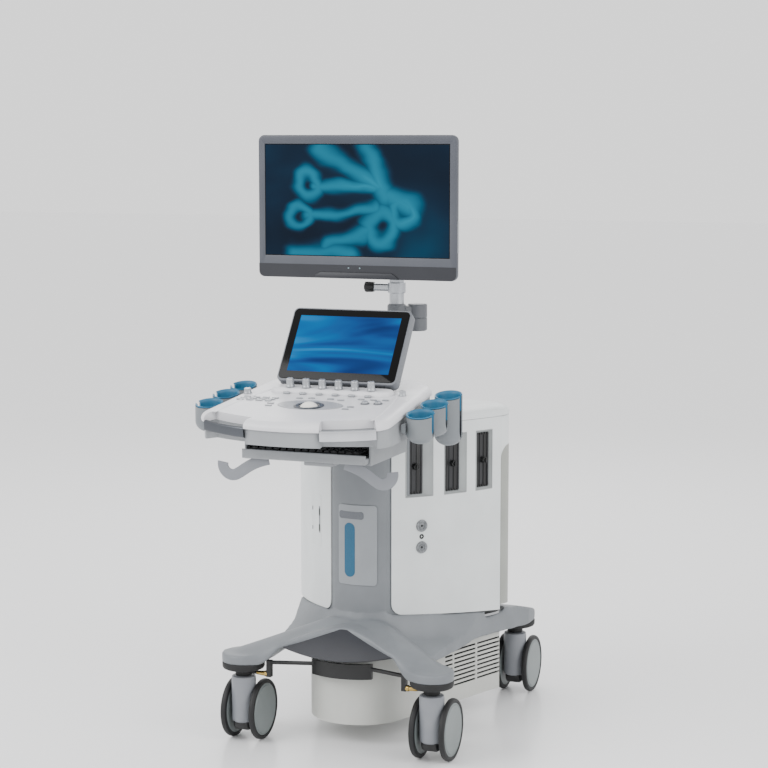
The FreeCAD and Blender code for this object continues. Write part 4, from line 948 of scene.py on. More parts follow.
    def port(self, index: int) -> None:
        """One probe port: its recess, coloured grey as painted shade, ribbed socket face and lock.
        """
        angle, scoop = self.port_angles[index], self.port_scoops[index]
        datum = self.flank_datum(angle, 0.0, self.port_z)
        mouth_w = 57.0 + scoop
        mouth = rounded_rectangle(mouth_w - 0.6, 151.4, 2.0, 6, (scoop / 2, 0.0))
        throat = rounded_rectangle(45.0, 140.0, 5.0, 6)
        rows = []
        for share, depth in ((0.0, -0.9), (0.02, -0.3), (0.06, 0.6), (0.5, 4.4), (0.9, 8.0),
                             (1.0, 9.4), (1.0, 20.0)):
            loop = mouth + (throat - mouth) * share
            sag = (loop[:, 0] ** 2) / (2 * self.flank_r) * (1 - share)
            rows.append(np.column_stack([loop, -(depth + sag)]))
        recess = loft(f"port_recess_{index + 1}", np.array(rows), caps=False, datum=datum)
        harden(recess, 0.0, 1.6)
        # Painted shade: the recess is dressed darker grey than the panel around it.
        self.fit(recess, Look.RECESS_SHADED_ABS, "dark_slate", *(("port_frames",) if index == 0 else ()))
        parts = []
        base = rounded_rectangle(43.0, 138.0, 2.0, 4)
        parts.append(dress(rolled_slab("face", base, -28, -8.2, 0.8, 3, datum), Look.SOCKET_PBT))
        for offset, width, tall in ((-17.0, 5.0, 132), (-8.4, 3.0, 132), (8.0, 9.0, 132),
                                    (18.0, 4.0, 132)):
            rib = rounded_rectangle(width, tall, 1.0, 3, (offset, 0.0))
            tone = Look.BLACK_ABS if width > 4.5 else Look.SOCKET_PBT
            parts.append(dress(rolled_slab("rib", rib, -8.6, -6.4, 0.5, 3, datum), tone))
        for end in (-1, 1):
            for step in range(5):
                tooth = rounded_rectangle(4.4, 5.0, 0.8, 3, (-16 + 8 * step, end * 66.0))
                parts.append(dress(rolled_slab("tooth", tooth, -8.6, -5.4, 0.5, 3, datum),
                                   Look.BLACK_ABS))
        install(joined(f"port_socket_{index + 1}", parts), self.body, "black_plastic",
                *(("transducer_ports",) if index == 0 else ()))
        dial = lathe("dial", [(0, -7.3), (7.2, -7.3), (8.0, -6.4), (7.9, 2.6), (6.9, 4.3),
                              (5.8, 4.8), (5.2, 3.6), (0, 3.3)], 40, datum)
        wing = rounded_rectangle(4.4, 12.6, 2.0, 5)
        grip = loft("wing", stack(wing, rolled_levels(2.0, 8.6, 1.2, 4)), datum=datum)
        lock = joined(f"port_lock_dial_{index + 1}", [harden(dial), harden(grip)])
        install(dress(lock, Look.BLACK_ABS), f"lock_{index + 1}", "black_plastic",
                f"port_lock_{index + 1}")

    def lead_sockets(self) -> None:
        """Two round lead sockets and the small jack between them."""
        parts = []
        for height in (524.0, 470.0):
            at = self.flank_datum(46.7, 0.0, height)
            parts.append(dress(turned("socket", [(15.0, -4), (15.0, 1.8), (14.4, 2.9), (13.0, 3.2),
                                                 (9.6, 3.1), (9.0, 2.4), (8.2, 2.2), (8.0, -9),
                                                 (0, -9), (0, -12), (15.0, -12), (15.0, -4)], 56,
                                      at), Look.LEAD_PBT))
            parts.append(dress(turned("core", [(0, -9), (7.6, -9), (7.6, 1.2), (7.0, 1.9),
                                               (3.4, 2.0), (3.0, 0.6), (0, 0.5)], 40, at),
                               Look.LEAD_PBT))
            parts.append(dress(turned("eye", [(0, -3), (2.9, -3), (2.9, 0.9), (0, 1.0)], 24, at),
                               Look.BLACK_ABS))
            for turn in range(5):
                bearing = turn * 2 * math.pi / 5
                shift = np.array([5.2 * math.cos(bearing), 5.2 * math.sin(bearing), 3.0])
                parts.append(dress(turned("pin", [(0, -3), (0.7, -3), (0.7, -1.2), (0, -1.0)], 10,
                                          lambda p, s=shift, a=at: a(p + s)), Look.STEEL))
        jack = self.flank_datum(46.7, 0.0, 497.0)
        parts.append(dress(turned("jack", [(0, -6), (6.2, -6), (6.2, 0.7), (5.6, 1.1), (2.4, 1.0),
                                           (2.0, -1), (0, -1)], 36, jack), Look.BLACK_ABS))
        install(joined("lead_sockets", parts), self.body, "black_plastic")

    def media_bay(self) -> None:
        """The media door and slit on the left panel."""
        parts = []
        at = self.flank_datum(45.6, 0.0, 520.0, -1)
        door = rounded_rectangle(66.0, 132.0, 3.0, 5, (24.0, 0.0))
        rows = stack(door, rolled_levels(-1.2, 0.7, 0.5, 3))
        rows[..., 2] -= rows[..., 0] ** 2 / (2 * self.flank_r)
        parts.append(dress(harden(loft("door", rows, datum=at)), Look.WHITE_ABS))
        slit = rounded_rectangle(8.0, 68.0, 3.0, 4, (0.0, 3.0))
        parts.append(dress(rolled_slab("slit", slit, -1.0, 0.95, 0.3, 3, at), Look.PANEL_ABS))
        for height in (22.0, -18.0):
            mark = rounded_rectangle(8.4, 19.0, 3.6, 4, (0.0, height))
            parts.append(dress(rolled_slab("mark", mark, -1, 1.6, 0.5, 3, at), Look.BLACK_ABS))
        far = self.flank_datum(50.0, 0.0, 520.0, -1)
        for height in (24.0, -26.0):
            latch = rounded_rectangle(4.6, 10.0, 2.0, 4, (-3.0, height))
            parts.append(dress(rolled_slab("latch", latch, -1, 1.3, 0.4, 3, far), Look.PANEL_ABS))
        install(joined("media_bay", parts), self.body, "white_shell")

    def lid(self) -> None:
        """The domed white lid, open at the front for the turning neck."""
        low, high = self.panel_top + self.seam, 805.0
        levels = [(low, 0.6), (low + 0.8, 0.0)]
        for share in np.linspace(0, 1, 9):
            turn = share * math.pi / 2
            levels.append((low + 6 + (high - low - 6) * math.sin(turn),
                           58.0 * (1 - math.cos(turn)) ** 1.15))
        rows = [np.column_stack([self.plan(inset), np.full(len(self.plan(inset)), z)])
                for z, inset in levels]
        lid = loft("lid", np.array(rows))
        bore = lathe("bore", [(0, 700), (122.0, 700), (122.0, 860), (0, 860)], 96,
                     upright(self.nose[0], self.nose[1]))
        carve(lid, bore)
        self.fit(lid, Look.WHITE_ABS, "white_shell", "top_cover")

    def rear(self) -> None:
        """The rear cover that wraps both corners, its vents with a black sheet behind them as
        painted shade, and the white shoulders above.
        """
        tail = self.flank_angle + 0.35
        arc = math.radians(180 - tail) * self.corner_r
        flat = self.corner[0]
        total = 2 * (arc + flat)
        top, bottom = self.panel_top - 1.0, 296.0

        def around(distance: Array, inset: float) -> Array:
            """Plan points by distance from the right flank round to the left one."""
            d = np.where(distance > total / 2, total - distance, distance)
            bearing = np.degrees(np.minimum(d, arc) / self.corner_r) + tail
            plan = self.wall(bearing, inset)
            straight = np.maximum(d - arc, 0)
            x = np.where(d > arc, flat - straight, plan[..., 0])
            y = np.where(d > arc, self.corner[1] + self.corner_r - inset, plan[..., 1])
            return np.stack([np.where(distance > total / 2, -x, x), y], axis=-1)

        def cover(distance: Array, level: Array) -> Array:
            """The outer cover: its top corners are rounded off on both flanks."""
            plan = around(distance, 0.0)
            reach = np.minimum(distance, total - distance)
            drop = 34.0 - np.sqrt(np.maximum(34.0**2 - np.maximum(34.0 - reach, 0)**2, 0))
            share = np.clip((level - 640.0) / (700.0 - 640.0), 0, 1)
            low = self.foot(plan[..., 1]) + 14.0
            z = level - drop * share + (low - bottom) * np.clip((400 - level) / 104.0, 0, 1)
            return np.concatenate([plan, z[..., None]], axis=-1)

        vents = [(total / 2 - 95 + 66 * i, total / 2 - 35 + 66 * i) for i in range(3)]
        rows = [420.0 + 13.0 * i for i in range(17)]
        inlet = (total / 2 + 99.0, total / 2 + 151.0, 325.0, 357.0)

        def keep(distance: Array, level: Array) -> Array:
            """Leaves out the vent slots and the inlet."""
            inside = np.zeros(np.broadcast(distance, level).shape, bool)
            for a, b in vents:
                for z in rows:
                    inside |= (distance > a) & (distance < b) & (level > z) & (level < z + 5)
            inside |= (distance > inlet[0]) & (distance < inlet[1]) & (level > inlet[2]) & \
                (level < inlet[3])
            return ~inside

        cuts_d = [v for pair in vents for v in pair] + list(inlet[:2]) + [1.5, 4, 8, 14]
        cuts_d += [total - v for v in (1.5, 4, 8, 14)]
        cuts_z = [v for z in rows for v in (z, z + 5)] + list(inlet[2:])
        shell = sheet_grid("rear_shell", lines(0, total, 9.0, cuts_d),
                           lines(bottom, 700.0, 10.0, cuts_z), cover, keep)
        self._face_out(shell)
        self.fit(harden(shell, 0.8, 2.6), Look.COVER_ABS, "grey_cover", "rear_cover")
        shoulder = sheet_grid(
            "rear_shoulder", lines(0, total, 9.0), lines(600.0, top + 0.6, 12.0),
            lambda d, z: np.concatenate([around(d, 0.9), z[..., None]], axis=-1))
        self._face_out(shoulder)
        self.fit(harden(shoulder, 0.8, 1.8), Look.WHITE_ABS, "white_shell")
        # Painted shade: a black sheet behind the vent slots stands in for the shade inside the
        # cover.
        dark = sheet_grid("vent_shade_sheet", lines(arc + 20, total - arc - 20, 30.0),
                          lines(400.0, 650.0, 60.0),
                          lambda d, z: np.concatenate([around(d, 6.0), z[..., None]], axis=-1))
        self._face_out(dark)
        self.fit(harden(dark, 0.0, 1.0), Look.BLACK_ABS, "grey_cover")
        self.inlet()
        bolts = []
        for x in (-185.0, 185.0):
            for z in (330.0, 655.0):
                at = on_axis((x, self.corner[1] + self.corner_r, z), (0, 1, 0))
                bolts.append(turned("screw", [(0, -1), (4.5, -1), (4.5, 0.9), (3.6, 1.6),
                                              (1.8, 1.7), (1.6, 0.7), (0, 0.7)], 24, at))
        self.fit(joined("cover_screws", bolts), Look.STEEL, "grey_cover")

    def inlet(self) -> None:
        """The mains inlet in the rear cover: a flange, a well and three blades."""
        at = on_axis((-125.0, 540.1, 341.0), (0, 1, 0))
        loops = []
        for (w, h, r), depth in (((49, 29, 2), -28.0), ((49, 29, 2), -2.4), ((47, 27, 2), -1.6),
                                 ((30, 21, 4), -1.6), ((28.5, 19.5, 4), -2.4),
                                 ((28, 19, 4), -15.0)):
            loop = rounded_rectangle(w, h, r, 5)
            loops.append(at_level(loop, depth))
        body = harden(loft("well", np.array(loops), datum=at))
        parts = [dress(body, Look.BLACK_ABS)]
        for x, z in ((-7.0, -2.0), (7.0, -2.0), (0.0, 3.5)):
            blade = rounded_rectangle(2.0, 5.0, 0.5, 3, (x, z))
            parts.append(dress(rolled_slab("blade", blade, -15, -5, 0.4, 3, at), Look.STEEL))
        install(joined("mains_inlet", parts), self.body, "black_plastic", "power_inlet")

    def backing(self) -> None:
        """The casting's painted wall behind the panels' front edges and rounded corners."""
        for side, word in ((-1, "left"), (1, "right")):
            obj = sheet_grid(
                f"pillar_edge_{word}", lines(30.0, 44.2, 0.8), lines(284.0, 776.0, 30.0),
                lambda b, z, s=side: np.concatenate([
                    self.wall(b, np.where(b < self.nose_angle + 0.2, 0.9, 3.6), s),
                    z[..., None]], axis=-1))
            self._face_out(obj)
            self.fit(harden(obj, 0.0, 2.0, even=False), Look.CAST_PAINT, "grey_casting")

    def on_nose(self, x: Array, proud: Array | float) -> Array:
        """Plan points of the pillar's round front at a width, standing proud of it."""
        radius = self.nose_r + np.asarray(proud, float)
        bearing = np.asarray(x, float) / self.nose_r
        return np.stack([radius * np.sin(bearing), self.nose[1] - radius * np.cos(bearing)],
                        axis=-1)

    def badge(self) -> None:
        """The curved badge plate with a blank nameplate and a blank teal bar."""
        shapes = (
            ("badge", Look.BADGE, "badge_grey", (0.0, 481.0), (104.0, 200.0), 9.0, -2.0, 1.2),
            ("blank_nameplate", Look.NAMEPLATE, "badge_grey", (-15.0, 555.0), (68.0, 19.0), 7.0,
             0.8, 2.0),
            ("blank_teal_bar", Look.TEAL_PRINT, "liner_teal", (-18.0, 468.5), (29.0, 135.0), 14.0,
             0.8, 1.8),
        )
        for name, look, slot, centre, size, radius, low, high in shapes:
            outline = rounded_rectangle(size[0], size[1], radius, 10, centre)
            rows = stack(outline, rolled_levels(low, high, 0.6, 4))
            face = rows[-1]
            narrower = [(face - (centre[0], 0, 0)) * (share, 1, 1) + (centre[0], 0, 0)
                        for share in (0.92, 0.8, 0.64, 0.48, 0.32, 0.16, 0.0)]
            rows = np.concatenate([rows, narrower])
            plan = self.on_nose(rows[..., 0], rows[..., 2])
            points = np.concatenate([plan, rows[..., 1:2]], axis=-1)
            obj = loft(name, points, caps=False)
            self.fit(harden(obj), look, slot, *(("badge_plate",) if name == "badge" else ()))

    def build(self) -> None:
        """Builds everything on the upright housing."""
        self.fit(self.panel(-1), Look.WHITE_ABS, "white_shell", "side_panel_left")
        self.fit(self.panel(1), Look.WHITE_ABS, "white_shell", "side_panel_right")
        self.backing()
        for index in range(3):
            self.port(index)
        self.lead_sockets()
        self.media_bay()
        self.lid()
        self.rear()
        self.badge()


HOUSING = Housing("base")


# ---------------------------------------------------------------- base


@dataclass
class Base(Assembly):
    """The casting on its castors, the lower housing, the apron and the brake."""

    track: float = 491.0
    wheelbase: float = 655.0
    trail: float = 30.0
    wheel_r: float = 75.0

    def casting(self) -> None:
        """The painted casting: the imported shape, sculpted and with every edge melted round.

        The copy is rebuilt on a fine even grid, its deck is lowered to a roof, and it is then
        relaxed, which rounds edges by about the radius of a casting's fillets.
        """
        copy = node_copy("base_casting", "casting")
        skin = copy.modifiers.new("even_grid", "REMESH")
        skin.mode = "VOXEL"
        skin.voxel_size = CASTING_VOXEL_MM * MM
        harden(copy)
        flat = np.empty(len(copy.data.vertices) * 3, np.float32)
        copy.data.vertices.foreach_get("co", flat)
        points = flat.reshape(-1, 3).astype(float) / MM + (0.0, FRONT_AXIS_Y, 0.0)
        points[:, 2] = self.roof(points)
        metres = (points - (0.0, FRONT_AXIS_Y, 0.0)) * MM
        copy.data.vertices.foreach_set("co", metres.astype(np.float32).reshape(-1))
        relax = copy.modifiers.new("relax", "SMOOTH")
        relax.factor = 0.5
        relax.iterations = CASTING_RELAX_STEPS
        harden(copy, smooth=60)
        self.fit(copy, Look.CAST_PAINT, "grey_casting", "base_casting")

    def roof(self, points: Array) -> Array:
        """Heights of the casting once its deck has been drawn down to a roof.

        Outside the housing's plan the roof falls away with the distance from it. Along each
        leg it stays up as a rounded ridge that falls towards the castor, and over the apron
        it keeps to a brow. Close to the pillar it turns up in a fillet. Heights
        between the legs' underside and the old deck are scaled to suit.

        Args:
            points: (n, 3), millimetres.

        Returns:
            The new third coordinate.
        """
        x, y, z = np.abs(points[:, 0]), points[:, 1], points[:, 2]
        housing = HOUSING.plan(0.0)
        start, end = housing, np.roll(housing, -1, axis=0)
        gap = np.full(len(x), 1e9)
        inside = np.zeros(len(x), bool)
        for a, b in zip(start, end):
            run = b - a
            t = np.clip(((x - a[0]) * run[0] + (y - a[1]) * run[1]) / max(run @ run, 1e-9), 0, 1)
            gap = np.minimum(gap, np.hypot(x - a[0] - t * run[0], y - a[1] - t * run[1]))
            if abs(run[1]) > 1e-9:
                crosses = (a[1] > y) != (b[1] > y)
                inside ^= crosses & (x < a[0] + (y - a[1]) / run[1] * run[0])
        gap = np.where(inside, 0.0, gap)
        deck = np.interp(y, (-80, -10, 60, 120, 160, 538, 700, 775),
                         (232, 248, 274, 300, 306, 266, 222, 210))
        pitch = np.interp(y, (100, 300, 480), (2.2, 1.6, 0.7))
        skirt = deck + 2.0 - pitch * np.maximum(gap - 2.0, 0)
        half = self.track / 2
        ridges = []
        for (ax, ay), (bx, by), high, low, sharp in (
                ((60.0, 118.0), (half, 0.0), 300.0, 236.0, 1.0),
                ((150.0, 440.0), (half, self.wheelbase), 262.0, 222.0, 0.0)):
            run = np.array([bx - ax, by - ay])
            t = ((x - ax) * run[0] + (y - ay) * run[1]) / (run @ run)
            over = np.maximum(t - 1, 0) * np.linalg.norm(run)
            t = np.clip(t, 0, 1)
            off = np.hypot(x - ax - t * run[0], y - ay - t * run[1])
            ahead = (x - ax) * run[1] - (y - ay) * run[0] > 0
            fall = 26.0 - sharp * np.where(ahead, 22.0 * np.clip((0.85 - t) / 0.25, 0, 1), 0.0)
            ridges.append(high + (low - high) * t - fall * (np.minimum(off, 64) / 53) ** 2
                          - 0.4 * over)
        field_ = np.stack([skirt, *ridges])
        roof = 5.0 * np.log(np.exp((field_ - 250) / 5.0).sum(axis=0)) + 250
        brow = np.where((y < 112.0) & (x < 156.0),
                        292.5 - 44.0 * (np.minimum(x, 156.0) / 147.0) ** 1.667, 0.0)
        roof = np.maximum(np.maximum(np.minimum(roof, deck), 212.0), brow)
        fillet = np.where(y < 262.0, 15.0 - np.sqrt(np.maximum(15.0**2 - np.maximum(
            15.0 - gap, 0) ** 2, 0)), 0.0)
        roof = np.where(gap > 0.5, roof + fillet, roof)
        low = 200.0
        scaled = low + (z - low) * (roof - low) / np.maximum(deck - low, 1)
        return np.where((z > low) & (z < deck + 6) & ~inside, scaled, z)

    def apron(self) -> None:
        """The dark shield between the front legs.

        Its half width grows from a round apex as a power of the way down; its middle hangs
        lower and further forward than its corners.
        """
        t, s = np.meshgrid(np.linspace(0.0, 1.0, 28) ** 1.5, np.linspace(-1.0, 1.0, 41),
                           indexing="ij")
        x = 147.0 * t**0.6 * s
        y = 48.5 - (60.0 - 15.0 * np.abs(s) ** 2) * t
        z = 289.0 - (64.0 - 20.0 * np.abs(s) ** 1.8) * t + 3.0 * np.sin(math.pi * t) * (1 - s**2)
        obj = make_mesh("apron", np.stack([x, y, z], axis=-1), grid_faces(28, 41, False))
        if sum(face.normal.z for face in obj.data.polygons) < 0:
            obj.data.flip_normals()
        self.fit(harden(obj, 0.0, 5.0, even=False), Look.SLATE_ABS, "dark_slate", "foot_apron")

    def lower_housing(self) -> None:
        """The tub under the deck, as packed, and black strips behind its vents as painted shade.
        """
        tub = harden(node_copy("lower_housing", "tub"), smooth=28)
        self.fit(tub, Look.TUB_PC, "pale_tub", "lower_housing")
        # Painted shade: black strips inside the tub's flanks darken its vent slots.
        shade_strips = []
        for side in (-1, 1):
            slope = math.tan(math.radians(20))
            y = np.array([290.0, 500.0])
            x = side * (116.5 + (y - 120.6) * slope - 10.0)
            path = np.column_stack([x, y, [145.0, 145.0]])
            shade_strips.append(harden(sweep("shade_strips", rounded_rectangle(1.5, 118.0, 0.5, 3), path,
                                       (0, 0, 1))))
        self.fit(joined("vent_shade_strips", shade_strips), Look.BLACK_ABS, "black_plastic")

    def mounts(self) -> None:
        """Rubber pads, necks and bosses over the castors."""
        parts = []
        for x in (-self.track / 2, self.track / 2):
            for y in (0.0, self.wheelbase):
                at = upright(x, y)
                parts.append(turned("pad", [(0, 201), (51.6, 201), (52.6, 198.5), (52.2, 189),
                                            (50.0, 185.2), (46.0, 183.2), (22.0, 182.6),
                                            (20.6, 180.5), (20.2, 167.6), (19.4, 166.4),
                                            (8.0, 166.4), (8.0, 130), (0, 130)], 64, at))
        self.fit(joined("pads_and_necks", parts), Look.PAD_TPR, "rubber_black",
                 "castor_mounts")

    def brake(self) -> None:
        """The brake's bar and rods as packed, and a brass bolt at each elbow."""
        bar = harden(node_copy("brake_bar", "brake_linkage"), smooth=35)
        install(dress(bar, Look.BLACK_STEEL), "brake", "black_steel", "brake_bar")
        bolts = []
        for side in (-1, 1):
            at = on_axis((side * 182.5, 0.0, 174.0), (side, 0, 0))
            bolts.append(turned("bolt", [(0, -2), (7.5, -2), (7.5, 5), (6.2, 6.4), (5.6, 16),
                                         (5.0, 26), (4.4, 27), (0, 27)], 24, at))
        install(dress(joined("brake_bolts", bolts), Look.BRASS), "brake", "black_steel")

    def castor(self, corner: str, x: float, y: float) -> None:
        """One castor: a capped barrel with a black shoe, two dished discs and round tyres."""
        at = upright(x, y)
        barrel = lathe("barrel", [(8.6, 165), (25.5, 165), (29.0, 163.2), (30.0, 158),
                                  (30.2, 110), (30.2, 60), (29.0, 53.5), (25.0, 50),
                                  (8.6, 50), (8.6, 165)], 64, at)
        parts = [dress(harden(barrel), Look.FORK_PAINT)]
        side_plan = rounded_rectangle(60.0, 66.0, 16.0, 8)
        cheek_at = on_axis((x - 15.0, y + 16.0, 82.0), (1, 0, 0))
        parts.append(dress(rolled_slab("cheek", side_plan, 0, 30, 3, 4, cheek_at),
                           Look.FORK_PAINT))
        shoe = rounded_rectangle(56.0, 40.0, 18.0, 10)
        shoe_at = on_axis((x - 21.0, y + 6.0, 48.0), (1, 0, 0))
        parts.append(dress(rolled_slab("shoe", shoe, 0, 42, 7, 5, shoe_at), Look.BLACK_ABS))
        install(joined(f"fork_{corner}", parts), f"castor_{corner}", "grey_casting",
                f"castor_fork_{corner}")
        axle_y = y + self.trail
        discs, tyres = [], []
        for side in (-1, 1):
            wheel = on_axis((x, axle_y, self.wheel_r), (side, 0, 0))
            discs.append(turned("disc", [(0, 31.0), (63.5, 31.0), (64.6, 32), (64.8, 41.5),
                                         (63.6, 43.4), (61.0, 44.0), (60.0, 43.2), (59.0, 43.2),
                                         (58.0, 44.4), (40, 44.9), (0, 45.0)], 72, wheel))
            tyres.append(turned("tyre", [(64.4, 30.9), (70.0, 30.7), (73.4, 32.0), (74.8, 34.6),
                                         (75.0, 37.6), (74.6, 41.0), (72.8, 44.0), (69.0, 45.0),
                                         (65.6, 44.4), (64.4, 42.6), (64.4, 30.9)], 84, wheel))
        discs.append(turned("axle", [(0, -32), (5.9, -32), (5.9, 32), (0, 32)], 24,
                            on_axis((x, axle_y, self.wheel_r), (1, 0, 0))))
        install(dress(joined(f"discs_{corner}", discs), Look.WHEEL_PA), f"wheels_{corner}",
                "wheel_grey", f"castor_wheels_{corner}")
        install(dress(joined(f"tyres_{corner}", tyres), Look.TYRE_TPR), f"wheels_{corner}",
                "tyre_black", f"castor_tyres_{corner}")

    def build(self) -> None:
        """Builds everything below the deck."""
        self.casting()
        self.apron()
        self.lower_housing()
        self.mounts()
        self.brake()
        half = self.track / 2
        for corner, x, y in (("front_left", -half, 0.0), ("front_right", half, 0.0),
                             ("rear_left", -half, self.wheelbase),
                             ("rear_right", half, self.wheelbase)):
            self.castor(corner, x, y)


# ---------------------------------------------------------------- console


@dataclass
class Console(Assembly):
    """The control deck with its trim, controls, cups and keyboard tray."""

    half: float = 232.0
    rear_half: float = 214.0
    bow_r: float = 444.0
    bow_front: float = 172.0
    rear_y: float = 340.0
    knob_y: float = 131.0
    knob_pitch: float = 41.3

    def outline(self) -> Array:
        """The deck's closed outline: a bowed front, straight sides and a rounded back."""
        front = -self.bow_front
        corner_x = self.half - 15
        corner_y = front + self.bow_r - math.sqrt(self.bow_r**2 - corner_x**2)
        corner = (corner_x, corner_y)
        bend, shoulder = (self.half - 4, corner_y + 18), (self.half, corner_y + 42)
        hip = (self.rear_half, self.rear_y - 100)
        hip_bend = (self.rear_half - 36, self.rear_y - 42)
        tail = (self.rear_half - 112, self.rear_y - 3)
        middle = corner_x * 0.52
        middle_y = front + self.bow_r - math.sqrt(self.bow_r**2 - middle**2)
        parts = [three_point_arc((0.0, front), (middle, middle_y), corner, 30)[:-1],
                 three_point_arc(corner, bend, shoulder, 10)[:-1],
                 np.linspace(shoulder, hip, 24)[:-1],
                 three_point_arc(hip, hip_bend, tail, 14)[:-1],
                 three_point_arc(tail, (0.0, self.rear_y), (-tail[0], tail[1]), 25)[:13]]
        half = np.concatenate(parts)
        half[-1, 0] = 0.0
        return mirror_close(half)

    def sector(self, name: str, inner: float, outer: float, low: float, high: float, side: int,
               first: float = 12.0, last: float = 28.5) -> bpy.types.Object:
        """A closed block along the bowed front between two radii and two angles."""
        hub = (0.0, self.bow_r - self.bow_front)
        a = arc_points(hub, inner, first, last, 20)
        b = arc_points(hub, outer, last, first, 20)
        loop = np.concatenate([a, b]) * (side, 1)
        rows = [at_level(loop, z) for z in (low, high)]
        return loft(name, np.array(rows), datum=DECK)

    def deck(self) -> None:
        """The white deck: a rolled rim, a shelf for the knobs and wells for the ball."""
        turn = np.linspace(0, math.pi / 2, 10)
        levels = [(-20.0, 2.4), (-19.2, 1.0), (-17.5, 0.2)]
        levels += [(-15.0 + 15.0 * math.sin(a), 22.0 * (1 - math.cos(a))) for a in turn]
        deck = loft("control_deck", stack(self.outline(), levels), datum=DECK)
        slots = [self.sector("slot", self.bow_r - 36, self.bow_r + 30, -60, 30, s)
                 for s in (-1, 1)]
        well = lathe("well", [(0, -40), (27, -40), (27, 40), (0, 40)], 64, DECK)
        oval = full_turn(96)
        pocket = np.column_stack([80.3 * np.cos(oval), 8 + 44.3 * np.sin(oval)])
        pocket_tool = loft("pocket", stack(pocket, [(-5.3, 0.0), (20.0, 0.0)]), datum=DECK)
        button_wells = [lathe("well", [(0, -4.5), (8.1, -4.5), (8.1, 20), (0, 20)], 40,
                              on_deck(x, y)) for x, y in ((120, 47), (150, 52))]
        carve(deck, *slots, well, pocket_tool, *button_wells)
        self.fit(deck, Look.DECK_ABS, "white_console", "console_upper")
        shelf = rounded_rectangle(308.0, 56.0, 22.0, 10, (0.0, self.knob_y + 10))
        levels = [(-0.5, 0.0), (2.0, 0.6), (6.0, 2.6), (9.0, 5.2), (10.5, 8.2), (11.0, 12.0)]
        self.fit(harden(loft("knob_shelf", stack(shelf, levels), datum=DECK)), Look.DECK_ABS,
                 "white_console")
        for side in (-1, 1):
            path = self._rim_path(side)
            bead = np.column_stack([4.5 * np.cos(oval[::6]), 1.5 * np.sin(oval[::6])])
            obj = sweep(f"deck_crease_{'right' if side > 0 else 'left'}", bead, path, (0, 0, 1),
                        DECK)
            self.fit(harden(obj), Look.DECK_ABS, "white_console")
        self._ears()

    @staticmethod
    def _rim_path(side: int) -> Array:
        """The raised line from the touch panel's foot to the front corner of the deck."""
        t = np.linspace(0, 1, 40)
        x = side * (157 + 36 * t + 10 * np.sin(math.pi * t))
        return np.column_stack([x, 165 - 262 * t - 14 * np.sin(math.pi * t), np.full(40, -0.2)])

    def _ears(self) -> None:
        """The two hinge ears that carry the touch panel, with their pins."""
        parts = []
        for side in (-1, 1):
            ear = rounded_rectangle(14.0, 25.4, 6.0, 8, (180.6, 11.7))
            rows = stack(ear, rolled_levels(-12, 12, 1.0, 3))
            swapped = np.stack([rows[..., 2] + side * 110, rows[..., 0], rows[..., 1]], axis=-1)
            parts.append(harden(loft("ear", swapped, datum=DECK)))
            pin_at = on_axis(DECK(np.array([[side * 110.0, 180.6, 19.5]]))[0], (1, 0, 0))
            parts.append(turned("pin", [(0, -30), (4, -30), (4, 30), (0, 30)], 24, pin_at))
        self.fit(joined("hinge_ears", parts), Look.PANEL_ABS, "white_console")

    def underbody(self) -> None:
        """The grey underbody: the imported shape, shaded smooth."""
        hull = harden(node_copy("console_lower", "underbody"), smooth=32)
        self.fit(hull, Look.UNDER_ABS, "grey_cover", "console_lower")

    def grips(self) -> None:
        """A bright bar on the right and a darker grey copy on the left, its grey painted shade,
        swept along the front.
        """
        hub = (0.0, self.bow_r - self.bow_front)
        section = rounded_rectangle(12.0, 25.0, 5.0, 7)
        # The left grip's grey finish is painted shade on the same bar as the bright right one.
        for side, look, name in ((-1, Look.SHADE_PAINTED_GREY, "grip_left"),
                                 (1, Look.BRIGHT_ALU, "grip_right")):
            path = arc_points(hub, self.bow_r - 6.0, 12.05, 28.45, 32) * (side, 1)
            path = np.column_stack([path, np.full(len(path), -28.5)])
            bar = harden(sweep(name, section, path, (0, 0, 1), DECK))
            self.fit(bar, look, "bright_metal", *(("console_grips",) if side > 0 else ()))

    def trackball(self) -> None:
        """The oval surround, the retaining ring and the ball."""
        oval = full_turn(96)
        rows = []
        for a, b, r_mix, z in ((80, 44, 0.0, -5.0), (80, 44, 0.0, 0.6), (79.2, 43.2, 0.0, 1.3),
                               (76, 41, 0.0, 1.5), (60, 35, 0.35, 0.4), (34, 30, 1.0, 0.2),
                               (28.5, 28.5, 1.0, 0.9), (26.2, 26.2, 1.0, 1.4),
                               (24.6, 24.6, 1.0, 0.6), (24.2, 24.2, 1.0, -5.0)):
            rows.append(np.column_stack([a * np.cos(oval), 8 * (1 - r_mix) + b * np.sin(oval),
                                         np.full(96, z)]))
        ring = loft("trackball_oval", np.array(rows), caps=False, closed_rows=True, datum=DECK)
        self.fit(harden(ring, smooth=40), Look.RING_ABS, "ball_grey", "trackball_surround")
        # The collar is a real ring, but its width and dark grey also stand in for the shade round
        # the ball's foot (painted shade).
        collar = lathe("trackball_collar", [(25.1, 0.9), (35.0, 0.9), (35.4, 1.5), (33.0, 2.6),
                                            (28.4, 3.4), (26.0, 2.6), (25.1, 1.4),
                                            (25.1, 0.9)], 72, DECK)
        self.fit(harden(collar), Look.SHADE_PAINTED_GREY, "ball_grey")
        turn = np.linspace(-math.pi / 2, math.pi / 2, 33)
        profile = [(24.9 * math.cos(a) if abs(a) < 1.57 else 0.0, -14 + 24.9 * math.sin(a))
                   for a in turn]
        ball = lathe("ball", profile, 64, DECK)
        install(dress(harden(ball), Look.BALL), "ball", "ball_grey", "trackball")

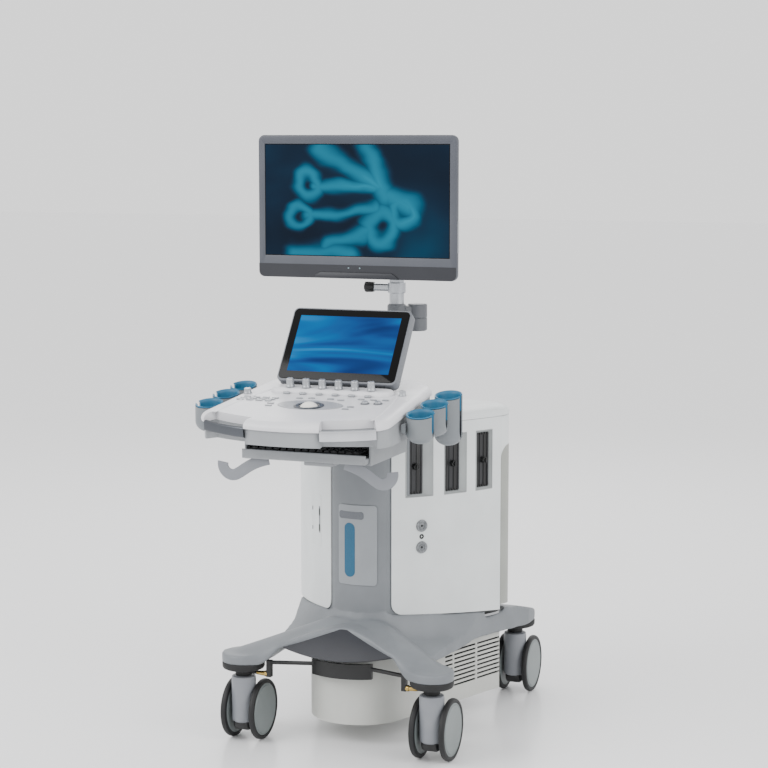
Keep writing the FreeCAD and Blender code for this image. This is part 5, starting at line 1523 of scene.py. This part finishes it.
    def keys(self) -> None:
        """Silver toggles, small keys and the two fixed side knobs."""
        parts = []
        for index in range(6):
            x = (index - 2.5) * self.knob_pitch
            toggle = rounded_rectangle(17.0, 7.4, 3.4, 7)
            levels = rolled_levels(0.05, 5.6, 1.6, 4)
            parts.append(harden(loft("toggle", stack(toggle, levels),
                                     datum=on_deck(x, self.knob_y - 23.5))))
        for row in range(3):
            for column in range(4):
                key = rounded_rectangle(17.0, 7.6, 2.4, 5)
                x = -188 + 24 * column + 3 * row
                parts.append(rolled_slab("key", key, 0.05, 2.6, 0.9, 3, on_deck(x, 30 + 14 * row)))
        for x, y in ((96, 84), (126, 84), (156, 86), (-52, 66), (-24, 72), (24, 72), (52, 66),
                     (-100, 8), (100, 8), (-96, -14), (96, -14)):
            key = rounded_rectangle(17.0, 8.0, 3.6, 6)
            parts.append(rolled_slab("key", key, 0.05, 2.4, 0.9, 3, on_deck(x, y)))
        for x, y, r in ((-198, 94, 9.0), (176, 144, 8.0)):
            parts.append(turned("side_knob", [(0, 0), (r + 1, 0), (r + 1, 2), (r, 3.4),
                                              (r - 0.5, 11), (r - 1.8, 12.4), (0, 12.6)], 36,
                                on_deck(x, y)))
        self.fit(joined("deck_keys", parts), Look.KEY_ABS, "black_plastic", "function_keys")

    def knobs(self) -> None:
        """Six rotary knobs with fluted skirts, and two push buttons."""
        for index in range(6):
            x = (index - 2.5) * self.knob_pitch
            at = on_deck(x, self.knob_y, 11.5)
            angle = full_turn(96)
            flute = 0.35 * (0.5 + 0.5 * np.cos(24 * angle))
            rows = []
            for radius, height, share in ((0.01, 0, 0), (10.2, 0, 0), (10.5, 0.6, 0),
                                          (10.4, 3.4, 0), (9.4, 5.0, 0), (9.0, 6.2, 1),
                                          (8.7, 18.5, 1), (8.3, 20.6, 0.4), (7.2, 21.7, 0),
                                          (5.6, 21.9, 0), (5.0, 21.4, 0), (0.01, 21.3, 0)):
                r = radius - flute * share
                rows.append(np.column_stack([r * np.cos(angle), r * np.sin(angle),
                                             np.full(96, height)]))
            knob = dress(harden(loft("grip", np.array(rows), caps=False, datum=at), smooth=50),
                         Look.KEY_ABS)
            mark = rounded_rectangle(1.2, 5.0, 0.5, 3, (0.0, 5.6))
            line = dress(harden(loft("mark", stack(mark, [(20.8, 0), (22.0, 0.1)]), datum=at)),
                         Look.SLATE_ABS)
            install(joined(f"knob_{index + 1}", [knob, line]), f"knob_{index + 1}",
                    "black_plastic", f"rotary_knob_{index + 1}")
        for index, (x, y) in enumerate(((120, 47), (150, 52))):
            cap = lathe(f"button_{index + 1}", [(0, -1), (7.4, -1), (7.5, 5.2), (6.9, 6.5),
                                                (5.6, 7.0), (3.0, 6.5), (0, 6.3)], 40,
                        on_deck(x, y))
            install(dress(harden(cap), Look.KEY_ABS), f"button_{index + 1}", "wheel_grey",
                    f"push_button_{index + 1}")
            rim = lathe(f"button_rim_{index + 1}", [(8.0, 0.0), (10.4, 0.0), (10.8, 1.0),
                                                    (9.9, 2.2), (8.4, 2.3), (8.0, 1.6),
                                                    (8.0, 0.0)], 40, on_deck(x, y))
            self.fit(harden(rim), Look.PANEL_ABS, "white_console")

    def cup(self, y: float, rim: float, tall: float, side: int, liner: bool
            ) -> bpy.types.Object:
        """One probe cup or its liner.

        The wall is a turned profile swept from one edge of the outward slot round to the
        other. The slot's half angle shrinks to nothing near the round bottom.
        """
        radius = 32.9 if not liner else 29.8
        deep = tall if not liner else min(tall - 8.0, 58.0)
        slot = 10.5 if not liner else 8.4
        bowl = min(26.0, deep * 0.42)
        turn = np.linspace(0, math.pi / 2, 10)
        profile = [(radius * math.sin(a) ** 0.9, bowl * (1 - math.cos(a))) for a in turn]
        profile += [(radius, bowl + (deep - bowl) * s) for s in np.linspace(0.1, 1, 12)]
        if liner:
            profile = profile[9:] if tall > 70 else profile[7:]
            profile += [(radius + 1.2, deep + 1.6), (radius + 3.0, deep + 2.2)]
        r = np.array([p[0] for p in profile])[:, None]
        z = np.array([p[1] for p in profile])[:, None]
        open_share = np.sqrt(np.clip((z - 15.0) / 16.0, 0, 1))
        open_share = np.where(z < 15.5, 0.0, np.maximum(open_share, 0.3))
        half = np.arcsin(np.clip(slot / np.maximum(r, slot), 0, 1)) * open_share
        s = np.linspace(0, 1, 57)[None, :]
        angle = half + (2 * math.pi - 2 * half) * s
        x = side * (265.0 + r * np.cos(angle))
        lean = 0.19 * (z / deep) ** 2 * r * np.sin(angle)
        points = np.stack([x, y + r * np.sin(angle), rim - deep + z + lean], axis=-1)
        obj = make_mesh("cup", points.reshape(-1, 3), grid_faces(len(profile), 57, False))
        self._turn_from_axis(obj, side * 265.0, y)
        return harden(obj, 0.0, 2.8 if not liner else 2.6, even=False)

    @staticmethod
    def _turn_from_axis(obj: bpy.types.Object, x: float, y: float) -> None:
        """Turns a cup's wall so that its faces look away from its own axis."""
        face = max(obj.data.polygons, key=lambda p: p.center.z)
        away = (face.center.x - x * MM, face.center.y - (y - FRONT_AXIS_Y) * MM)
        if face.normal.x * away[0] + face.normal.y * away[1] < 0:
            obj.data.flip_normals()

    def cups(self) -> None:
        """Six cups, their soft liners and the rails that hold them."""
        rows = ((-136.0, 851.0, 65.0), (-43.0, 862.0, 72.0), (55.0, 871.0, 116.0))
        for side, word in ((-1, "left"), (1, "right")):
            shells = [self.cup(y, rim, tall, side, False) for y, rim, tall in rows]
            rail_path = np.array([[side * 234.5, y, z] for y, z in
                                  zip(np.linspace(-166, 78, 20), np.linspace(822, 846, 20))])
            shells.append(harden(sweep("rail", rounded_rectangle(10.0, 22.0, 4.0, 6), rail_path,
                                       (0, 0, 1))))
            for y, rim, _ in rows:
                bridge = rounded_rectangle(34.0, 22.0, 5.0, 6)
                start = (side * 233.0, y, rim - 35.0)
                shells.append(harden(loft("bridge", stack(bridge, [(0, 0), (4, 0)]),
                                          datum=on_axis(start, (side, 0, 0)))))
            self.fit(joined(f"cup_shells_{word}", shells), Look.CUP_ABS, "cup_grey",
                     f"probe_cups_{word}")
            liners = [self.cup(y, rim, tall, side, True) for y, rim, tall in rows]
            self.fit(joined(f"cup_linings_{word}", liners), Look.LINER_TPU, "liner_teal",
                     *(("cup_liners",) if side > 0 else ()))

    def tray(self) -> None:
        """The pull-out tray, its keyboard and the two cable hooks."""
        outline = rounded_rectangle(306.0, 245.0, 8.0, 7, (0.0, -72.5))
        slab = rolled_slab("slab", outline, 738.0, 752.0, 3.0, 5)
        path = np.array([[x, -192.4, 749.0] for x in (-153.0, 153.0)])
        front = harden(sweep("front", rounded_rectangle(5.0, 22.0, 2.2, 6), path, (0, 0, 1)))
        box = rounded_rectangle(72.0, 60.0, 6.0, 6, (26.0, -140.0))
        bracket = rolled_slab("bracket", box, 725.0, 739.0, 3.0, 4)
        tray = joined("tray_shell", [slab, front, bracket])
        install(dress(tray, Look.UNDER_ABS), "tray", "arm_grey", "keyboard_tray")
        plan = rounded_rectangle(46.0, 3.0, 1.4, 4, (22.0, 735.4))
        latch = loft("tray_latch", stack(plan, rolled_levels(0.0, 2.6, 0.6, 3)),
                     datum=lambda p: np.stack([p[..., 0], -169.0 - p[..., 2], p[..., 1]],
                                              axis=-1))
        install(dress(harden(latch), Look.BLACK_ABS), "tray", "black_plastic")
        base = rounded_rectangle(280.0, 150.0, 6.0, 7, (0.0, -113.0))
        parts = [dress(rolled_slab("deck", base, 752.2, 761.0, 2.0, 4), Look.BLACK_ABS)]
        for row in range(6):
            for column in range(15):
                key = rounded_rectangle(15.4, 17.8, 2.0, 3,
                                        (-126.0 + KEY_PITCH[0] * column,
                                         -174.0 + KEY_PITCH[1] * row))
                parts.append(dress(harden(loft("cap", stack(key, [(760.5, 0.0), (764.6, 1.2),
                                                                  (765.4, 2.2)]))),
                                   Look.SOCKET_PBT))
        install(joined("keyboard_keys", parts), "tray", "black_plastic", "keyboard")
        hooks = []
        for side in (-1, 1):
            turn = np.radians(np.linspace(232, 372, 26))
            curl = np.column_stack([188 + 24.5 * np.cos(turn), np.full(26, -173.0),
                                    718 + 24.5 * np.sin(turn)])
            lead = curl[0]
            run = np.linspace((96.0, -173.0, 735.4), lead, 22)[:-1]
            ease = np.linspace(0, 1, 21)
            run[:, 2] += 5.0 * np.sin(math.pi * ease)
            path = np.concatenate([run, curl]) * (side, 1, 1)
            hooks.append(harden(sweep("hook", rounded_rectangle(3.6, 27.0, 1.6, 5)[:, ::-1],
                                      path, (0, 1, 0))))
        install(dress(joined("hooks", hooks), Look.HOOK_PAINT), "tray", "black_steel",
                "cable_hooks")

    def build(self) -> None:
        """Builds everything on the console."""
        self.deck()
        self.underbody()
        self.grips()
        self.trackball()
        self.keys()
        self.knobs()
        self.cups()
        self.tray()


# ---------------------------------------------------------------- displays and arm


def display_quad(name: str, width: float, height: float, centre: Sequence[float],
                 level: float, datum: Callable[[Array], Array]) -> bpy.types.Object:
    """A flat grid with a UV map over it, for a lit picture that faces the front."""
    u, v = np.meshgrid(np.linspace(0, 1, 9), np.linspace(0, 1, 6), indexing="ij")
    points = np.stack([(u - 0.5) * width + centre[0], (v - 0.5) * height + centre[1],
                       np.full_like(u, level)], axis=-1).reshape(-1, 3)
    obj = make_mesh(name, datum(points), grid_faces(9, 6, False))
    layer = obj.data.uv_layers.new(name="picture")
    corner = np.empty(len(obj.data.loops), int)
    obj.data.loops.foreach_get("vertex_index", corner)
    flat = np.stack([u, v], axis=-1).reshape(-1, 2)
    where = np.empty(len(obj.data.vertices) * 3)
    obj.data.vertices.foreach_get("co", where)
    order = np.argmin(np.linalg.norm(
        where.reshape(-1, 1, 3) / MM + (0, FRONT_AXIS_Y, 0) - datum(points)[None], axis=2), axis=1)
    layer.data.foreach_set("uv", flat[order[corner]].reshape(-1))
    if obj.data.polygons[0].normal.y > 0:
        obj.data.flip_normals()
    return obj


@dataclass
class TouchPanel(Assembly):
    """The hinged touch panel."""

    def build(self) -> None:
        """Builds the tub, the cover glass and the lit picture."""
        outline = rounded_rectangle(306.0, 203.0, 13.0, 10, (0.0, 97.5))
        tub = loft("touch_tub", stack(outline, rolled_levels(-28.0, 0.0, 2.4, 5)), datum=TOUCH)
        rooms = []
        for side in (-1, 1):
            room = rounded_rectangle(28.0, 40.0, 0.5, 2, (side * 110.0, 6.0))
            rooms.append(loft("room", stack(room, [(-48.0, 0), (-8.0, 0)]), datum=TOUCH))
        carve(tub, *rooms)
        self.fit(tub, Look.PANEL_ABS, "dark_slate", "touch_housing")
        glass = rounded_rectangle(298.0, 193.0, 11.0, 10, (0.0, 97.8))
        plate = loft("touch_cover_glass", stack(glass, rolled_levels(0.05, 1.9, 0.5, 4)),
                     datum=TOUCH)
        self.fit(harden(plate), Look.GLASS, "screen_glass", "touch_glass")
        picture = display_quad("touch_display", 260.0, 154.0, (0.0, 99.0), 2.05, TOUCH)
        self.fit(picture, Look.TOUCH_PICTURE, "screen_glass")


@dataclass
class Monitor(Assembly):
    """The flat monitor: frame, chin, glass, rear shell and lamps."""

    width: float = 513.0
    height: float = 345.0
    centre_z: float = 1308.0
    front_y: float = 132.0
    screen: tuple[float, float, float] = (478.0, 270.0, 1324.0)

    def datum(self, points: Array) -> Array:
        """Front view coordinates: X, height above the middle, and depth towards the viewer."""
        p = np.asarray(points, float)
        return np.stack([p[..., 0], self.front_y - p[..., 2], self.centre_z + p[..., 1]], axis=-1)

    def build(self) -> None:
        """Builds the frame, the chin, the glass and the back."""
        w, h, z0 = self.screen
        up = z0 - self.centre_z
        outer = rounded_rectangle(self.width, self.height, 15.0, 10)
        window = rounded_rectangle(w + 0.6, h + 0.6, 1.0, 10, (0.0, up))
        rows = [np.column_stack([inward(outer, i), np.full(len(outer), d)])
                for d, i in ((-16.0, 0.8), (-14.5, 0.0), (-3.0, 0.0), (-1.2, 0.6), (-0.2, 2.0),
                             (0.0, 4.0))]
        rows += [np.column_stack([window + (inward(outer, 4.0) - window) * m,
                                  np.full(len(outer), d)])
                 for m, d in ((0.06, 0.0), (0.0, -0.8), (0.0, -3.0))]
        frame = loft("monitor_frame", np.array(rows), caps=False, datum=self.datum)
        self.fit(harden(frame, smooth=40), Look.BEZEL_ABS, "bezel_grey", "monitor_bezel")
        self._chin()
        pane = rounded_rectangle(w, h, 0.8, 4, (0.0, up))
        glass = loft("monitor_pane", stack(pane, [(-3.1, 0), (-0.9, 0), (-0.6, 0.4)]),
                     datum=self.datum)
        self.fit(harden(glass), Look.GLASS, "screen_glass", "monitor_screen")
        picture = display_quad("monitor_display", w - 3, h - 3, (0.0, up), -0.5, self.datum)
        self.fit(picture, Look.MONITOR_PICTURE, "screen_glass")
        self._back(outer)

    def _chin(self) -> None:
        """The dark lower band with its grip lip, lamps and a small side key."""
        low = -self.height / 2
        band = rounded_rectangle(self.width - 1.0, 33.0, 14.0, 10, (0.0, low + 17.0))
        flat = band.copy()
        top = low + 33.0
        flat[:, 1] = np.where(flat[:, 1] > low + 17.0, top, flat[:, 1])
        flat[:, 0] = np.where(band[:, 1] > low + 17.0, np.sign(flat[:, 0]) *
                              (self.width - 1.0) / 2, flat[:, 0])
        keep = np.concatenate([[True], np.linalg.norm(np.diff(flat, axis=0), axis=1) > 1e-6])
        chin = loft("monitor_chin", stack(flat[keep], [(-2.0, 0.0), (0.3, 0.0), (0.7, 0.5)]),
                    datum=self.datum)
        self.fit(harden(chin), Look.SLATE_ABS, "dark_slate")
        lip = np.array([(-110, low + 1.0), (110, low + 1.0), (104, low + 9.0),
                        (92, low + 16.0), (-92, low + 16.0), (-104, low + 9.0)], float)
        plate = loft("monitor_grip", stack(lip, [(0.3, 0.0), (3.4, 0.6), (4.0, 1.6)]),
                     datum=self.datum)
        self.fit(harden(plate, 0.8), Look.SLATE_ABS, "dark_slate")
        lamps = []
        for x in (-19.0, 10.0):
            at = on_axis(self.datum(np.array([[x, low + 26.0, 0.4]]))[0], (0, -1, 0))
            lamps.append(turned("lamp", [(0, 0), (1.7, 0), (1.7, 0.6), (1.1, 1.0), (0, 1.1)], 20,
                                at))
        self.fit(joined("monitor_lamps", lamps), Look.LAMP, "bezel_grey")
        key = rounded_rectangle(8.0, 78.0, 2.5, 6)
        at = on_axis((255.4, 142.0, 1240.0), (1, 0, 0))
        self.fit(rolled_slab("monitor_side_keys", key, 0, 3.0, 0.8, 3, at), Look.KEY_ABS,
                 "bezel_grey")

    def _back(self, outer: Array) -> None:
        """The rear shell: a soft pyramid with black patches as painted shade for its vent slots,
        and the two tilt lugs.
        """
        rows = []
        for share, depth in ((0.0, -16.0), (0.06, -18.0), (0.2, -23.0), (0.45, -31.0),
                             (0.72, -38.0), (0.9, -42.4), (1.0, -44.0)):
            fx = 0.985 - 0.125 * share**1.2
            fz = 0.985 - 0.185 * share**1.2
            rows.append(np.column_stack([outer * (fx, fz), np.full(len(outer), depth)]))
        for fx, fz in ((0.80, 0.72), (0.5, 0.45)):
            rows.append(np.column_stack([outer * (fx, fz), np.full(len(outer), -44.1)]))
        shell = harden(loft("shell", np.array(rows), datum=self.datum), smooth=40)
        parts = [dress(shell, Look.SLATE_ABS)]
        for row in range(7):
            for side in (-1, 1):
                slot = rounded_rectangle(120.0, 3.4, 1.6, 4, (side * 90.0, 106.0 - 9.0 * row))
                # Painted shade: black patches stand for the vent slots' openings.
                parts.append(dress(harden(loft("slot", stack(slot, [(-45.2, 0.4), (-43.0, 0)]),
                                               datum=self.datum)), Look.BLACK_ABS))
        for x in (-46.0, -4.0):
            profile = three_point_arc((153.0, 1314.0), (221.0, 1300.0), (153.0, 1286.0), 24)
            rows = np.array([np.column_stack([np.full(24, x + w), profile])
                             for w in (0.0, 18.0)])
            parts.append(dress(harden(loft("lug", rows)), Look.SLATE_ABS))
        install(joined("monitor_shell", parts), self.body, "dark_slate", "monitor_back")


@dataclass
class Arm:
    """The monitor's arm: lower arm, post with its clamp, and tilt head."""

    elbow: tuple[float, float] = (115.0, 250.0)
    post: tuple[float, float] = (74.0, 215.0)
    link_z: float = 1036.0

    def lower(self) -> None:
        """The grey lower arm, swept from its hub up to the elbow."""
        t = np.linspace(0, 1, 30)
        ease = t**2 * (3 - 2 * t)
        path = np.column_stack([self.elbow[0] * t, 215.0 + 35.0 * t, 919.0 + 101.0 * ease])
        section = rounded_rectangle(28.0, 26.0, 9.0, 8)
        parts = [harden(sweep("beam", section, path, (0.0, 0.0, 1.0)))]
        parts.append(turned("hub", [(12.2, 902), (26.5, 902), (28, 903.5), (28, 932), (26, 934.5),
                                    (0, 935.5), (0, 928), (12.2, 928), (12.2, 902)], 56,
                            upright(0, 215.0)))
        parts.append(turned("knuckle", [(0, 1004), (21, 1004), (24, 1007), (24, 1034),
                                        (23, 1035.5), (9, 1035.5), (9, 1061), (0, 1061)], 56,
                            upright(*self.elbow)))
        install(dress(joined("lower_arm_shell", parts), Look.ARM_PAINT), "lower_arm",
                "arm_grey", "monitor_lower_arm")

    def upper(self) -> None:
        """The bright post with its eye, clamp, bracket and fluted black knob."""
        z = self.link_z
        post_at = upright(*self.post)
        eye_at = upright(*self.elbow)
        parts = [dress(turned("post", [(0, z + 30), (17.9, z + 30), (17.9, z + 224),
                                       (9.0, z + 225.5), (9.0, z + 251), (0, z + 251.4)], 56,
                              post_at), Look.POST_ALU)]
        parts.append(dress(turned("foot", [(0, z), (21.5, z), (23, z + 1.5), (23, z + 31),
                                           (21, z + 34), (17.9, z + 36), (0, z + 36)], 56,
                                  post_at), Look.ARM_PAINT))
        parts.append(dress(turned("eye", [(9.2, z), (23, z), (24, z + 1.5), (24, z + 31),
                                          (22, z + 34), (0, z + 34.6), (0, z + 28), (9.2, z + 28),
                                          (9.2, z)], 56, eye_at), Look.ARM_PAINT))
        path = np.array([[*self.elbow, z + 17.0], [*self.post, z + 17.0]])
        parts.append(dress(harden(sweep("bar", rounded_rectangle(26, 26, 6, 6), path,
                                        (0, 0, 1))), Look.ARM_PAINT))
        parts.append(dress(turned("clamp", [(17.9, z + 62), (21, z + 62), (22, z + 63.5),
                                            (22, z + 86.5), (21, z + 88), (17.9, z + 88),
                                            (17.9, z + 62)], 48, post_at), Look.POST_ALU))
        reach = np.array([[14.0, 215.0, z + 75.0], [58.0, 215.0, z + 75.0]])
        parts.append(dress(harden(sweep("bracket", rounded_rectangle(15, 19, 5, 6), reach,
                                        (0, 0, 1))), Look.POST_ALU))
        angle = full_turn(72)
        rows = []
        for radius, at, share in ((0.01, 0, 0), (11.6, 0, 0.3), (13.4, 1.6, 1), (13.8, 4, 1),
                                  (13.2, 20, 1), (12.0, 23, 0.4), (7.0, 25.5, 0),
                                  (0.01, 26, 0)):
            r = radius - share * 1.1 * (0.5 + 0.5 * np.cos(8 * angle))
            rows.append(np.column_stack([np.full(72, -8.0 + at), 215 + r * np.cos(angle),
                                         z + 75 + r * np.sin(angle)]))
        parts.append(dress(harden(loft("knob", np.array(rows), caps=False), smooth=40),
                           Look.BLACK_ABS))
        install(joined("upper_arm_shell", parts), "upper_arm", "bright_metal",
                "monitor_upper_arm")

    def head(self) -> None:
        """The tilt head on the post and its cross pin through the monitor's lugs."""
        cap = lathe("cap", [(9.1, 1262), (20.5, 1262), (22, 1263.5), (22, 1319), (20, 1322),
                            (0, 1322.6), (0, 1289), (9.1, 1289), (9.1, 1262)], 56,
                    upright(*self.post))
        path = np.array([[24.0, 215.0, 1300.0], [66.0, 215.0, 1300.0]])
        cross = sweep("cross", rounded_rectangle(22, 26, 6, 6), path, (0, 0, 1))
        pin = lathe("pin", [(0, -50), (5.4, -50), (5.95, -49), (5.95, 30), (0, 30)], 32,
                    on_axis((0, 207.0, 1300.0), (1, 0, 0)))
        parts = [harden(cap), harden(cross), harden(pin)]
        install(dress(joined("tilt_head_shell", parts), Look.ARM_PAINT), "head", "arm_grey",
                "tilt_head")

    def build(self) -> None:
        """Builds the whole arm."""
        self.lower()
        self.upper()
        self.head()


# ---------------------------------------------------------------- studio


@dataclass
class Studio:
    """Pale floor, soft light and the camera."""

    eye: tuple[float, float, float] = (1810.9, -4353.9, 1476.4)
    yaw: float = 21.18
    pitch: float = 7.03
    lens: float = 94.02

    def camera(self) -> None:
        """Sets the camera at the viewing angle."""
        data = bpy.data.cameras.new("camera")
        data.lens = self.lens
        data.sensor_width = 36.0
        data.clip_end = 60.0
        obj = placed("camera", data)
        obj.location = (self.eye[0] * MM, (self.eye[1] - FRONT_AXIS_Y) * MM, self.eye[2] * MM)
        obj.rotation_euler = (math.radians(90 - self.pitch), 0.0, math.radians(self.yaw))
        bpy.context.scene.camera = obj

    def lamp(self, name: str, at: Sequence[float], size: float, power: float) -> None:
        """One square area light that looks at the machine's middle."""
        data = bpy.data.lights.new(name, "AREA")
        data.energy = power
        data.size = size
        obj = placed(name, data)
        obj.location = at
        aim = Vector((0.0, 0.0, 0.75)) - Vector(at)
        obj.rotation_euler = aim.to_track_quat("-Z", "Y").to_euler()

    def build(self) -> None:
        """Builds the floor, the world and the lights."""
        self.camera()
        mesh = bpy.data.meshes.new("floor")
        mesh.from_pydata([(-30, -30, 0), (30, -30, 0), (30, 30, 0), (-30, 30, 0)], [],
                         [(0, 1, 2, 3)])
        floor = placed("floor", mesh)
        material = bpy.data.materials.new("pale_floor")
        material.use_nodes = True
        shader = material.node_tree.nodes["Principled BSDF"]
        shader.inputs["Base Color"].default_value = linear("f4f4f5")
        shader.inputs["Roughness"].default_value = FLOOR_ROUGHNESS
        mesh.materials.append(material)
        floor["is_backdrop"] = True
        world = bpy.data.worlds.new("studio")
        world.use_nodes = True
        back = world.node_tree.nodes["Background"]
        back.inputs["Color"].default_value = (1.0, 1.0, 1.0, 1.0)
        back.inputs["Strength"].default_value = WORLD_STRENGTH
        bpy.context.scene.world = world
        self.lamp("key", (-2.6, -3.2, 3.4), 2.6, 150.0)
        self.lamp("side", (3.6, -1.4, 2.6), 2.4, 70.0)
        self.lamp("rim", (-1.0, 3.4, 3.0), 2.4, 60.0)


def hidden_insides() -> None:
    """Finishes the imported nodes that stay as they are: the parts inside the housing."""
    looks = {"chassis_frame": Look.STEEL, "electronics_box": Look.STEEL,
             "cooling_fan": Look.BLACK_ABS, "lift_column": Look.STEEL}
    for node, look in looks.items():
        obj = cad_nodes()[node]
        material = PALETTE.get(look)
        if not obj.material_slots:
            obj.data.materials.append(material)
        for slot in obj.material_slots:
            slot.material = material


def corners(box: Sequence[Vector]) -> list[list[float]]:
    """A box as plain numbers."""
    return [[float(v) for v in corner] for corner in box]


def main() -> None:
    """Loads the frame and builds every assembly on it."""
    logging.basicConfig(level=logging.INFO, format="%(message)s")
    _FRAME.update(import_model())
    packed = corners(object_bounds())
    Studio().build()
    Base("base").build()
    HOUSING.build()
    Console("console").build()
    TouchPanel("touch").build()
    Monitor("monitor").build()
    Arm().build()
    hidden_insides()
    json.dumps({"cad": packed, "visual": corners(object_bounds())})


if __name__ == "__main__":
    main()
